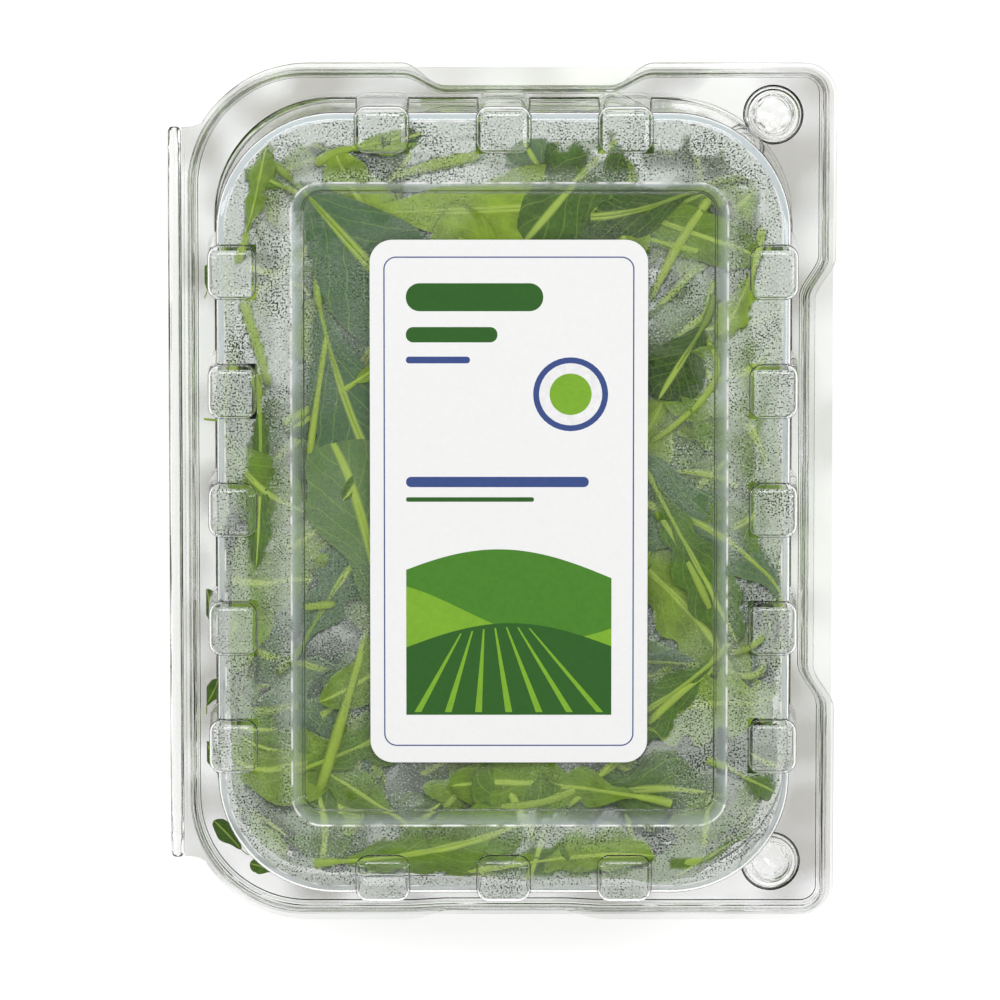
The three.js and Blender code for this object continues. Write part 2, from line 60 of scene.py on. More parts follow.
# Hinge bead along the left edge.
BEAD_RADIUS = 1.5
BEAD_X = HINGE_EDGE + BEAD_RADIUS
BEAD_HALF_LENGTH = 81.5
HOLLOW_RADIUS = (BEAD_RADIUS - 0.42) * 0.98
HOLLOW_SPARE = 0.5
CRIMP_REACH = 14
CLOSE_REACH = 16
CREASES = ((-69.35, 80.5, 0.3), (-68.3, 70, 0.26))
WEB_FLARE = 2.4

# Rims.
LIP = dict(left=-69.7, right=OPENING_EDGE, half=HALF_LENGTH, corner_left=27.5, corner_right=7.2)
FLANGE = dict(left=-69.8, right=72.6, half=tray_high.y / MM, corner_left=26.5, corner_right=6.4)
EDGE_ROUND = 0.32
# How much of the painted reflection smear the sheet's tint carries, by its height over the floor: ledge and
# plateau, step, and the flat rims.
LID_LEVELS = ((45.2, 1), (45.4, 0.1), (47.0, 0.1), (47.3, 0.55), (48.8, 0.55), (49.0, 0))
TRAY_LEVELS = ((43.0, 0), (43.2, 1)) + LID_LEVELS
CUP_LEVELS = ((0.0, 1), (60.0, 1))
LEVEL_SCALE = 10.0
PLASTIC_IOR = 1.46
WATER_IOR = 1.33
STEP_INSET = 2.6
STEP_INSET_LEFT = 1.9
STEP_SLOPE = 1.3
STEP_PLAY = 0.54
PLATEAU = -3.2
LEDGE = -4.2
NO_TABS = dict(top=0, right=0, bottom=0)
LIP_TABS = dict(top=5.4, right=4.5, bottom=2.0)
STEP_TABS = dict(top=3.6, right=4.2, bottom=0.4)
TAB_BLEND = 9.5
TAB_SPANS = dict(top=(-21.8, 33.0), right=(-48.0, 52.8), bottom=(-21.0, 22.6))

# Dome, recessed panel, lugs and buttons of the lid.
DOME = dict(left=-62.6, right=63.3, half=87.1, corner_left=26.3, corner_right=26.3)
DOME_TOP = 15.2
DOME_SHOULDER = 1.9
PANEL = dict(left=-45.8, right=49.0, half=71.2, corner_left=6.4, corner_right=6.4)
PANEL_SLOPE = 2.2
PANEL_TOP = 11.3
LUG_CORNER = 3.3
LUG_DRAFT = 0.5
LUG_EDGE = 2.3
SIDE_LUG = dict(width=11.6, length=13.1, xs=(-58.9, 59.3), first=-53.6, pitch=26.35, count=5)
END_LUG = dict(width=13.0, length=11.4, ys=(-83.2, 83.2), first=-26.2, pitch=26.55, count=3)
LUG_CROWN = 0.15
CRUMPLE = 0.7
CRUMPLE_LENS = 0.16
BUTTON = dict(x=59.4, y=83.6, rim=5.5, rim_depth=0.9, cup=4.1, cup_depth=3.8)

# Cavity of the tray.
CAVITY = dict(left=-62.4, right=63.0, half=86.9, corner_left=25.0, corner_right=29.0)
WALL_TAPER = 5.2
FLOOR_ROUND = 6.0

# Label.
LABEL = dict(width=60.8, length=116.4, corner=5.0, x=1.5, y=0.2)
LABEL_THICKNESS = 0.12

# Camera: the view's scale and the picture's middle, in the photograph's 1000 pixel frame.
PICTURE = 1000
PICTURE_MIDDLE = PICTURE / 2
MM_PER_PIXEL = 0.22
BOX_MIDDLE_PIXEL = (502.0, 493.5)
CAMERA_TILT = math.radians(10.5)
CAMERA_DISTANCE = 2500.0
SENSOR = 36.0

SEED = 7
rng = np.random.default_rng(SEED)


# ---- Outlines and lofted shells ----

def arc(cx, cy, radius, start, steps):
    angles = np.radians(start + 90 * np.arange(steps + 1) / steps)
    return [(cx + radius * math.cos(a), cy + radius * math.sin(a)) for a in angles]


def smooth(share):
    share = min(max(share, 0.0), 1.0)
    return share * share * (3 - 2 * share)


def tab_steps(span, depth, steps=10):
    """Places along a side where it steps inwards and back out, as (place, depth)."""
    start, end = span
    shares = [i / steps for i in range(steps + 1)]
    inwards = [(start + TAB_BLEND * s, depth * smooth(s)) for s in shares]
    outwards = [(end - TAB_BLEND * (1 - s), depth * smooth(1 - s)) for s in shares]
    return inwards + outwards


def outline(box, tabs=NO_TABS, fine=24):
    """A rounded rectangle, anticlockwise from above, its three free sides with finger tabs."""
    left, right, half = box["left"], box["right"], box["half"]
    a, b = box["corner_left"], box["corner_right"]
    points = [(x, depth - half) for x, depth in tab_steps(TAB_SPANS["bottom"], tabs["bottom"])]
    points += arc(right - b, b - half, b, -90, fine)
    points += [(right - depth, y) for y, depth in tab_steps(TAB_SPANS["right"], tabs["right"])]
    points += arc(right - b, half - b, b, 0, fine)
    points += [(x, half - depth) for x, depth in reversed(tab_steps(TAB_SPANS["top"], tabs["top"]))]
    points += arc(left + a, half - a, a, 90, fine)
    points += arc(left + a, a - half, a, 180, fine)
    return np.array(points)


def inset(box, amount, amount_left=None):
    on_left = amount if amount_left is None else amount_left
    return dict(
        left=box["left"] + on_left,
        right=box["right"] - amount,
        half=box["half"] - amount,
        corner_left=max(box["corner_left"] - amount, 1.0),
        corner_right=max(box["corner_right"] - amount, 1.0),
    )


def step_outline(amount):
    """The step between lip and plateau, a given way down its slope."""
    return outline(inset(LIP, STEP_INSET + amount, STEP_INSET_LEFT + amount), STEP_TABS)


def rounded(profile, radii, steps=6):
    """A polyline of (inset, height) points with its inner corners rounded to arcs."""
    points = [profile[0]]
    for before, corner, after, radius in zip(profile, profile[1:], profile[2:], radii):
        corner = np.array(corner, float)
        back = np.array(before, float) - corner
        ahead = np.array(after, float) - corner
        back /= np.linalg.norm(back)
        ahead /= np.linalg.norm(ahead)
        half_angle = math.acos(np.clip(np.dot(back, ahead), -1, 1)) / 2
        reach = radius / math.tan(half_angle)
        middle = corner + (back + ahead) / np.linalg.norm(back + ahead) * radius / math.sin(half_angle)
        first, last = corner + back * reach - middle, corner + ahead * reach - middle
        turn = math.pi - 2 * half_angle
        for i in range(steps + 1):
            share = i / steps
            arm = (math.sin((1 - share) * turn) * first + math.sin(share * turn) * last) / math.sin(turn)
            points.append(tuple(middle + arm))
    points.append(profile[-1])
    return points


def offset(profile, amount):
    """The same polyline moved sideways by some amount, to the left of its direction."""
    points = np.array(profile, float)
    ways = np.diff(points, axis=0)
    ways /= np.linalg.norm(ways, axis=1)[:, None]
    normals = np.stack([-ways[:, 1], ways[:, 0]], axis=1)
    moved = [points[0] + normals[0] * amount]
    for i in range(1, len(points) - 1):
        middle = normals[i - 1] + normals[i]
        middle *= amount / np.dot(middle, normals[i])
        moved.append(points[i] + middle)
    moved.append(points[-1] + normals[-1] * amount)
    return [tuple(p) for p in moved]


def make_object(name, vertices, faces):
    """A mesh object from millimetre points whose heights count from the floor."""
    mesh = bpy.data.meshes.new(name)
    mesh.from_pydata([tuple(v) for v in np.asarray(vertices) * MM], [], faces)
    mesh.update()
    piece = bpy.data.objects.new(name, mesh)
    bpy.context.scene.collection.objects.link(piece)
    return piece


def ring_faces(levels, count):
    """Faces between stacked rings that have the same number of points."""
    faces = []
    for a in range(0, (levels - 1) * count, count):
        for i in range(count):
            j = (i + 1) % count
            faces.append((a + i, a + j, a + count + j, a + count + i))
    return faces


def loft(name, rings):
    """A body through stacked rings, each a (points, height) pair above the parting plane."""
    count = len(rings[0][0])
    last = (len(rings) - 1) * count
    vertices = [(x, y, PARTING + z) for points, z in rings for x, y in points]
    ends = [tuple(range(count - 1, -1, -1)), tuple(range(last, last + count))]
    return make_object(name, vertices, ring_faces(len(rings), count) + ends)


def combine(target, tool, operation):
    """Joins to or cuts from one solid with another, which is used up."""
    modifier = target.modifiers.new("combine", "BOOLEAN")
    modifier.operation = operation
    modifier.object = tool
    modifier.solver = "MANIFOLD"
    bpy.context.view_layer.update()
    graph = bpy.context.evaluated_depsgraph_get()
    result = bpy.data.meshes.new_from_object(target.evaluated_get(graph))
    target.modifiers.clear()
    target.data = result
    bpy.data.objects.remove(tool)
    return target


def read_vectors(items, key):
    """One vector of every vertex or face of a mesh."""
    values = np.empty(len(items) * 3)
    items.foreach_get(key, values)
    return values.reshape(-1, 3)


def store(mesh, name, columns):
    """Keeps three numbers for each vertex, as a colour that materials can read."""
    colours = mesh.color_attributes.new(name, "FLOAT_COLOR", "POINT")
    colours.data.foreach_set("color", np.column_stack([*columns, np.ones(len(columns[0]))]).ravel())


def joined(pieces):
    """One object that holds several, by their vertices and faces."""
    vertices, faces = [], []
    for piece in pieces:
        start = len(vertices)
        vertices += [np.array(v.co) / MM for v in piece.data.vertices]
        faces += [tuple(start + i for i in p.vertices) for p in piece.data.polygons]
    name = pieces[0].name
    for piece in pieces:
        bpy.data.objects.remove(piece)
    return make_object(name, vertices, faces)


def shade_smooth(piece, angle=35):
    piece.data.shade_smooth()
    piece.data.set_sharp_from_angle(angle=math.radians(angle))
    weighted = piece.modifiers.new("even_normals", "WEIGHTED_NORMAL")
    weighted.keep_sharp = True
    weighted.weight = 80


# ---- The lid ----

def lug_places():
    places = []
    for i in range(SIDE_LUG["count"]):
        y = SIDE_LUG["first"] + SIDE_LUG["pitch"] * i
        places += [(x, y, SIDE_LUG["width"], SIDE_LUG["length"]) for x in SIDE_LUG["xs"]]
    for i in range(END_LUG["count"]):
        x = END_LUG["first"] + END_LUG["pitch"] * i
        places += [(x, y, END_LUG["width"], END_LUG["length"]) for y in END_LUG["ys"]]
    return places


def rounded_block(x, y, width, length, corner, fine=10):
    right, top = width / 2 - corner, length / 2 - corner
    points = arc(x + right, y + top, corner, 0, fine) + arc(x - right, y + top, corner, 90, fine)
    points += arc(x - right, y - top, corner, 180, fine) + arc(x + right, y - top, corner, 270, fine)
    return np.array(points)


def lug(place, bottom, thickness):
    x, y, width, length = place
    profile = [(0, bottom), (LUG_DRAFT, LUG_TOP - LUG_CROWN), (4, LUG_TOP)]
    profile = rounded(offset(profile, -thickness), [LUG_EDGE - thickness])
    rings = []
    for amount, height in profile:
        corner = max(LUG_CORNER - amount, 0.8)
        rings.append((rounded_block(x, y, width - 2 * amount, length - 2 * amount, corner), height))
    return loft("lug", rings)


def button_cup(surface, grow):
    """The space of a snap button's stepped cup, grown by some amount."""
    rim, cup = BUTTON["rim"] + grow, BUTTON["cup"] + grow
    rim_floor, cup_floor = surface - BUTTON["rim_depth"], surface - BUTTON["cup_depth"]
    flat = [(radius, cup_floor) for radius in (0.4, 0.8, 1.2, 1.6, 2.0, 2.4, 2.8)]
    walls = [(cup - 1, cup_floor), (cup - 0.5, cup_floor), (cup, rim_floor), (rim - 0.5, rim_floor),
             (rim, surface), (rim, surface + 3)]
    profile = flat + rounded(walls, [0.4, 0.25, 0.3, 0.3], 4)
    angles = np.linspace(0, 2 * math.pi, 48, endpoint=False)
    circle = np.stack([np.cos(angles), np.sin(angles)], axis=1)
    cups = [loft("cup", [(circle * r + (BUTTON["x"], side * BUTTON["y"]), z) for r, z in profile])
            for side in (-1, 1)]
    floor = (PARTING + cup_floor + 0.01) * MM
    for cup in cups:
        for vertex in cup.data.vertices:
            if vertex.co.z < floor:
                spot = Vector((vertex.co.x, vertex.co.y, 0))
                rise = CRUMPLE * (0.5 + noise.noise(spot * 520))
                lens = CRUMPLE_LENS * noise.noise(spot * 900 + Vector((0, 0, 7 * grow)))
                vertex.co.z += MM * (rise + lens)
    return cups


def rim_rings(thickness):
    """The lid's face from its lip down the step to the plateau, then up the dome to the panel."""
    def folded(profile, radii, steps=6):
        return rounded(offset(profile, -thickness) if thickness else profile, radii, steps)

    lip_top, foot = LIP_GAP + SHEET, STEP_INSET + STEP_SLOPE
    step = folded([(1.0, lip_top), (STEP_INSET, lip_top), (foot, PLATEAU), (foot + 0.3, PLATEAU)],
                  [0.35, 0.12])
    dome = folded([(-0.85, PLATEAU), (0, PLATEAU), (0.3, DOME_TOP), (6, DOME_TOP)],
                  [0.7, DOME_SHOULDER - thickness], 8)
    panel = folded([(-3.5, DOME_TOP), (0, DOME_TOP), (PANEL_SLOPE, PANEL_TOP), (6, PANEL_TOP)],
                   [0.5, 0.15 if thickness else 1.6])
    rings = [(step_outline(amount - STEP_INSET), z) for amount, z in step]
    for box, profile in ((DOME, dome), (PANEL, panel)):
        rings += [(outline(inset(box, amount)), z) for amount, z in profile]
    return rings


def web_outline(rim, edge, overlap):
    """The flat web between the hinge bead and a rim, its ends flaring into the rim's arcs."""
    centre_x, centre_y = rim["left"] + rim["corner_left"], rim["half"] - rim["corner_left"]
    radius = rim["corner_left"] - overlap
    reach = BEAD_HALF_LENGTH + WEB_FLARE - centre_y
    angles = np.linspace(0, math.asin(reach / radius), 14)
    upper = [(centre_x - radius * math.cos(a), centre_y + radius * math.sin(a)) for a in angles]
    end_x = upper[-1][0]
    flare = np.linspace(0, 1, 6)[1:-1]
    upper += [(end_x + (edge - end_x) * s, BEAD_HALF_LENGTH + WEB_FLARE * (1 - s) ** 3) for s in flare]
    upper.append((edge, BEAD_HALF_LENGTH))
    lower = [(x, -y) for x, y in reversed(upper)]
    return np.array(lower + upper)


def rod(x, z, radii, stations, flat=1.0):
    """A round bar along Y whose radius changes along it."""
    angles = np.linspace(0, 2 * math.pi, 28, endpoint=False)
    vertices, count = [], len(angles)
    for y, radius in zip(stations, radii):
        tall = radius * flat
        vertices += [(x + radius * math.cos(a), y, PARTING + z + tall * math.sin(a)) for a in angles]
    last = (len(stations) - 1) * count
    sides = [(face[0], *face[:0:-1]) for face in ring_faces(len(stations), count)]
    ends = [tuple(range(count)), tuple(range(last + count - 1, last - 1, -1))]
    return make_object("rod", vertices, sides + ends)


def along_fold(half):
    """Places along the fold, close together where its ends are crimped."""
    ends = np.linspace(half, half - CLOSE_REACH, 33)
    middle = np.linspace(CLOSE_REACH - half, half - CLOSE_REACH, 9)[1:-1]
    return np.concatenate([-ends, middle, ends[::-1]])


def add_fold(lid):
    """The rolled fold of the hinge, crimped towards its ends, and the creases beside it."""
    for spare, operation in ((0, "UNION"), (HOLLOW_SPARE, "DIFFERENCE")):
        stations = along_fold(BEAD_HALF_LENGTH + spare)
        from_end = BEAD_HALF_LENGTH + spare - np.abs(stations)
        fading = np.abs(np.sin(from_end * 0.62)) * (1 - from_end / CRIMP_REACH)
        crimp = np.where(from_end < CRIMP_REACH, fading, 0)
        pinch = 1 - 0.35 * np.clip(1 - from_end / 1.2, 0, 1) ** 2
        solid, hollow = BEAD_RADIUS * pinch * (1 - 0.05 * crimp), HOLLOW_RADIUS * (1 - 0.45 * crimp)
        lid = combine(lid, rod(BEAD_X, 0, hollow if spare else solid, stations), operation)
    for x, half, radius in CREASES:
        places = np.linspace(-half, half, 9)
        rib = rod(x, LIP_GAP + SHEET, radius * np.array([0.2] + [1] * 7 + [0.2]), places, 0.8)
        lid = combine(lid, rib, "UNION")
    return lid


def make_lid():
    lip_top = LIP_GAP + SHEET
    below = -12
    edge = [(outline(LIP, LIP_TABS), below)]
    for share in np.linspace(0, 1, 5):
        turn = share * math.pi / 2
        amount, drop = EDGE_ROUND * (1 - math.cos(turn)), EDGE_ROUND * (1 - math.sin(turn))
        edge.append((outline(inset(LIP, amount), LIP_TABS), lip_top - drop))
    upper = loft("lid_clear", edge + rim_rings(0)[1:])
    wide = outline(inset(LIP, -3), LIP_TABS)
    lower = loft("lid_hollow", [(wide, below - 1), (wide, LIP_GAP)] + rim_rings(SHEET)[1:])
    upper = combine(upper, joined([lug(p, below + 1, 0) for p in lug_places()]), "UNION")
    lower = combine(lower, joined([lug(p, below - 1, SHEET) for p in lug_places()]), "UNION")
    upper = combine(upper, joined(button_cup(PLATEAU, 0)), "DIFFERENCE")
    lower = combine(lower, joined(button_cup(PLATEAU - SHEET, SHEET)), "DIFFERENCE")
    lid = combine(upper, lower, "DIFFERENCE")
    web = web_outline(LIP, BEAD_X + 1.3, 0.6)
    lid = combine(lid, loft("web", [(web, LIP_GAP), (web, lip_top)]), "UNION")
    return add_fold(lid)


# ---- The tray ----

def cavity_inset(height):
    return WALL_TAPER * (LEDGE - height) / (LEDGE + PARTING)


def make_tray():
    floor = SHEET - PARTING
    clear = STEP_PLAY + MOVING_GAP
    slope = [(cavity_inset(floor) + 12, floor), (cavity_inset(floor), floor), (0, LEDGE), (-1.2, LEDGE)]
    inner_walls = rounded(slope, [FLOOR_ROUND, 0.6], 9)
    outer_walls = rounded(offset(slope, SHEET), [FLOOR_ROUND + SHEET, 0.3], 9)
    step = [(STEP_SLOPE - 0.4 - clear, LEDGE), (STEP_SLOPE - clear, LEDGE), (-clear, -LIP_GAP)]
    inner = [(outline(inset(CAVITY, a)), z) for a, z in inner_walls]
    inner += [(step_outline(a), z) for a, z in reversed(step)][::-1][1:]
    inner.append((step_outline(-clear), 5))
    outer = [(outline(inset(CAVITY, a)), z) for a, z in outer_walls]
    outer += [(step_outline(STEP_SLOPE - clear - SHEET), LEDGE - SHEET),
              (step_outline(-clear - SHEET * 0.5), -LIP_GAP - SHEET),
              (outline(FLANGE), -LIP_GAP - SHEET), (outline(FLANGE), -LIP_GAP)]
    tray = loft("tray_clear", outer)
    hollow = loft("tray_hollow", inner)
    gap = SHEET + MOVING_GAP
    cups = joined(button_cup(LEDGE - SHEET, gap + SHEET))
    tray = combine(tray, trimmed(cups, LEDGE), "UNION")
    hollow = combine(hollow, joined(button_cup(LEDGE, gap)), "UNION")
    tray = combine(tray, hollow, "DIFFERENCE")
    web = web_outline(FLANGE, FLANGE["left"] - 0.3, 0.3)
    return combine(tray, loft("web", [(web, -LIP_GAP - SHEET), (web, -LIP_GAP)]), "UNION")


def trimmed(piece, height):
    """A piece without what lies above one height."""
    size = 300
    square = np.array([(-size, -size), (size, -size), (size, size), (-size, size)])
    return combine(piece, loft("trim", [(square, height), (square, height + size)]), "DIFFERENCE")


# ---- Materials ----

def grey(value):
    return (value, value, value)


class Shading:
    """A material's node tree, with short ways to add to it. Texture places are the piece's own."""

    def __init__(self, name, world=False):
        self.owner = bpy.data.worlds.new(name) if world else bpy.data.materials.new(name)
        self.owner.use_nodes = True
        self.tree = self.owner.node_tree
        self.tree.nodes.clear()
        self.output = self.tree.nodes.new("ShaderNodeOutputWorld" if world else "ShaderNodeOutputMaterial")
        self.places = self.node("ShaderNodeTexCoord").outputs
        self.place = self.places["Object"]

    def feed(self, socket, value):
        """Links a socket to another, or sets its number or colour."""
        if isinstance(value, (int, float)):
            socket.default_value = value
        elif isinstance(value, tuple):
            socket.default_value = (*value, 1)
        else:
            self.tree.links.new(value, socket)

    def node(self, kind, settings=None, **inputs):
        made = self.tree.nodes.new(kind)
        for key, value in (settings or {}).items():
            setattr(made, key, value)
        for key, value in inputs.items():
            self.feed(made.inputs[key.replace("_", " ")], value)
        return made

    def maths(self, operation, *values):
        made = self.node("ShaderNodeMath", {"operation": operation})
        for socket, value in zip(made.inputs, values):
            self.feed(socket, value)
        return made.outputs[0]

    def times(self, *factors):
        product = factors[0]
        for factor in factors[1:]:
            product = self.maths("MULTIPLY", product, factor)
        return product

    def larger(self, first, second):
        return self.maths("MAXIMUM", first, second)

    def smaller(self, first, second):
        return self.maths("MINIMUM", first, second)

    def blend(self, share, first, second, mode="MIX"):
        made = self.node("ShaderNodeMix", {"data_type": "RGBA", "blend_type": mode})
        for index, value in ((0, share), (6, first), (7, second)):
            self.feed(made.inputs[index], value)
        return made.outputs[2]

    def ramp(self, source, stops):
        """A colour, or a share where the stops hold numbers, by a source of 0 to 1."""
        made = self.node("ShaderNodeValToRGB", Fac=source)
        elements = made.color_ramp.elements
        while len(elements) < len(stops):
            elements.new(0.5)
        for element, (place, value) in zip(elements, stops):
            element.position = place
            element.color = (*(value if isinstance(value, tuple) else grey(value)), 1)
        return made.outputs[0]

    def noise(self, scale, detail=2.0):
        return self.node("ShaderNodeTexNoise", Vector=self.place, Scale=scale, Detail=detail).outputs[0]

    def cells(self, feature, scale):
        made = self.node("ShaderNodeTexVoronoi", {"feature": feature}, Vector=self.place, Scale=scale)
        return made.outputs["Distance"]

    def split(self, kind, source):
        return self.node(kind, {}, **{"Color" if kind.endswith("Color") else "Vector": source}).outputs

    def bump(self, height, strength, distance):
        return self.node("ShaderNodeBump", Height=height, Strength=strength, Distance=distance).outputs[0]

    def mix(self, share, first, second):
        made = self.node("ShaderNodeMixShader")
        for socket, value in zip(made.inputs, (share, first, second)):
            self.feed(socket, value)
        return made.outputs[0]

    def lets_lamps_through(self, shader, tint):
        """What the eye meets stays, and the light of lamps gets a tinted opening."""
        opening = self.node("ShaderNodeBsdfTransparent", Color=tint).outputs[0]
        path = self.node("ShaderNodeLightPath")
        return self.mix(path.outputs["Is Shadow Ray"], shader, opening)

    def finish(self, shader):
        self.feed(self.output.inputs[0], shader)
        return self.owner


def clear_plastic(name, levels, dull, even, bright, scale=75.0):
    """Clear formed sheet that bends light at its folds. Its rim is wavy, and its tint carries cloudy smears
    of painted reflection.
    """
    made = Shading(name)
    wave = made.noise(scale, 0.0)
    # Painted reflection: grey smears in the sheet's tint stand in for the soft wavy reflections on its flat
    # rims.
    painted_reflection_smear = made.ramp(wave, [(0.34, dull), (0.5, even), (0.66, bright)])
    height = made.split("ShaderNodeSeparateXYZ", made.place)[2]
    stops = [(at * MM * LEVEL_SCALE, share) for at, share in levels]
    rim = made.ramp(made.times(height, LEVEL_SCALE), stops)
    relief = made.times(wave, made.maths("MULTIPLY_ADD", rim, 0.85, 0.15))
    sheet = made.node("ShaderNodeBsdfPrincipled", {"distribution": "GGX"}, Roughness=0.035, IOR=PLASTIC_IOR,
                      Transmission_Weight=1.0, Base_Color=made.blend(rim, grey(0.97), painted_reflection_smear),
                      Normal=made.bump(relief, 0.9, 0.001))
    return made.finish(made.lets_lamps_through(sheet.outputs[0], (0.93, 0.935, 0.93)))


def shaded_cut_edge():
    """The trimmed edge of the sheet, frosted by the knife, its grey tint a painted shade that draws the
    thin dark line along the rim.
    """
    made = Shading("shaded_cut_edge")
    # Painted shade: the dark grey tint gives the rim its thin dark outline.
    tint = made.ramp(made.noise(900.0), [(0.35, (0.3, 0.31, 0.32)), (0.65, (0.6, 0.61, 0.62))])
    sheet = made.node("ShaderNodeBsdfPrincipled", Roughness=0.35, IOR=PLASTIC_IOR, Transmission_Weight=0.6,
                      Base_Color=tint)
    return made.finish(made.lets_lamps_through(sheet.outputs[0], grey(0.8)))


def mark_faces(piece, rim, low, high, cups_below=-1.0):
    """Gives the second material to a rim's outer edge and the third to what lies below a height."""
    mesh = piece.data
    middles, ways = read_vectors(mesh.polygons, "center") / MM, read_vectors(mesh.polygons, "normal")
    outwards = (ways[:, :2] * middles[:, :2]).sum(axis=1) > 0
    steep = abs(ways[:, 2]) < 0.93
    at_edge = inside(middles[:, :2], inset(rim, 6))[0] < 0
    edge = (middles[:, 2] > low) & (middles[:, 2] < high) & steep & outwards & at_edge
    cups = middles[:, 2] < cups_below
    mesh.polygons.foreach_set("material_index", (edge + 2 * cups).astype(np.int32))


def give(piece, *materials):
    if len(piece.data.materials):
        piece.data.materials.clear()
    for material in materials:
        piece.data.materials.append(material)


def leaf_material(name, dark, middle, light, underside, vein):
    """Leaf green by the leaf's own shade, with a pale midrib, side veins and a fine net."""
    made = Shading(name)
    uv = made.node("ShaderNodeUVMap", {"uv_map": "leaf"}).outputs[0]
    along, side, _ = made.split("ShaderNodeSeparateXYZ", uv)
    across = made.maths("ABSOLUTE", made.maths("SUBTRACT", side, 0.5))
    shade = made.node("ShaderNodeAttribute", {"attribute_name": "shade"}).outputs["Color"]
    tone, stalk, under = made.split("ShaderNodeSeparateColor", shade)
    mottle = made.noise(230.0, 3.0)
    green = made.ramp(tone, [(0.0, dark), (0.5, middle), (1.0, light)])
    colour = made.blend(1.0, green, made.ramp(mottle, [(0.3, 0.72), (0.7, 1.2)]), "MULTIPLY")
    slant = made.maths("SUBTRACT", made.times(along, 7.0), made.times(across, 4.5))
    teeth = made.maths("FRACT", made.maths("ADD", slant, made.times(mottle, 0.5)))
    saw = made.maths("ABSOLUTE", made.maths("SUBTRACT", teeth, 0.5))
    side_veins = made.ramp(saw, [(0.0, 1), (0.02, 0.8), (0.055, 0)])
    midrib = made.ramp(across, [(0.0, 1), (0.025, 1), (0.06, 0)])
    net_veins = made.ramp(made.cells("DISTANCE_TO_EDGE", 700.0), [(0.0, 0.22), (0.08, 0)])
    veins = made.times(made.larger(made.times(side_veins, 0.55), net_veins), 0.55)
    veins = made.larger(made.larger(veins, made.times(midrib, 0.9)), stalk)
    colour = made.blend(made.times(under, 0.75), colour, underside)
    shader = made.node("ShaderNodeBsdfPrincipled", Roughness=0.5, Specular_IOR_Level=0.3,
                       Base_Color=made.blend(veins, colour, vein), Normal=made.bump(mottle, 0.5, 0.0005))
    return made.finish(shader.outputs[0])


def depth_inside(made, spot, box):
    """How far inside a rounded rectangle with even corners a place lies, in millimetres."""
    radius = box["corner_left"]
    half_x, half_y = (box["right"] - box["left"]) / 2 - radius, box["half"] - radius
    middle = (box["right"] + box["left"]) / 2
    from_middle = made.maths("ABSOLUTE", made.maths("MULTIPLY_ADD", spot[0], 1 / MM, -middle))
    beside = made.maths("SUBTRACT", from_middle, half_x)
    along = made.maths("SUBTRACT", made.maths("ABSOLUTE", made.times(spot[1], 1 / MM)), half_y)
    past_x, past_y = made.larger(beside, 0.0), made.larger(along, 0.0)
    square = made.maths("MULTIPLY_ADD", past_x, past_x, made.times(past_y, past_y))
    within = made.smaller(made.larger(beside, along), 0.0)
    return made.maths("SUBTRACT", made.maths("SUBTRACT", radius, made.maths("SQRT", square)), within)


def band(made, distance, stops):
    """A share that follows a distance of -2 to 6 mm."""
    place = made.maths("MULTIPLY_ADD", distance, 1 / 8, 0.25)
    return made.ramp(place, [((at + 2) / 8, share) for at, share in stops])


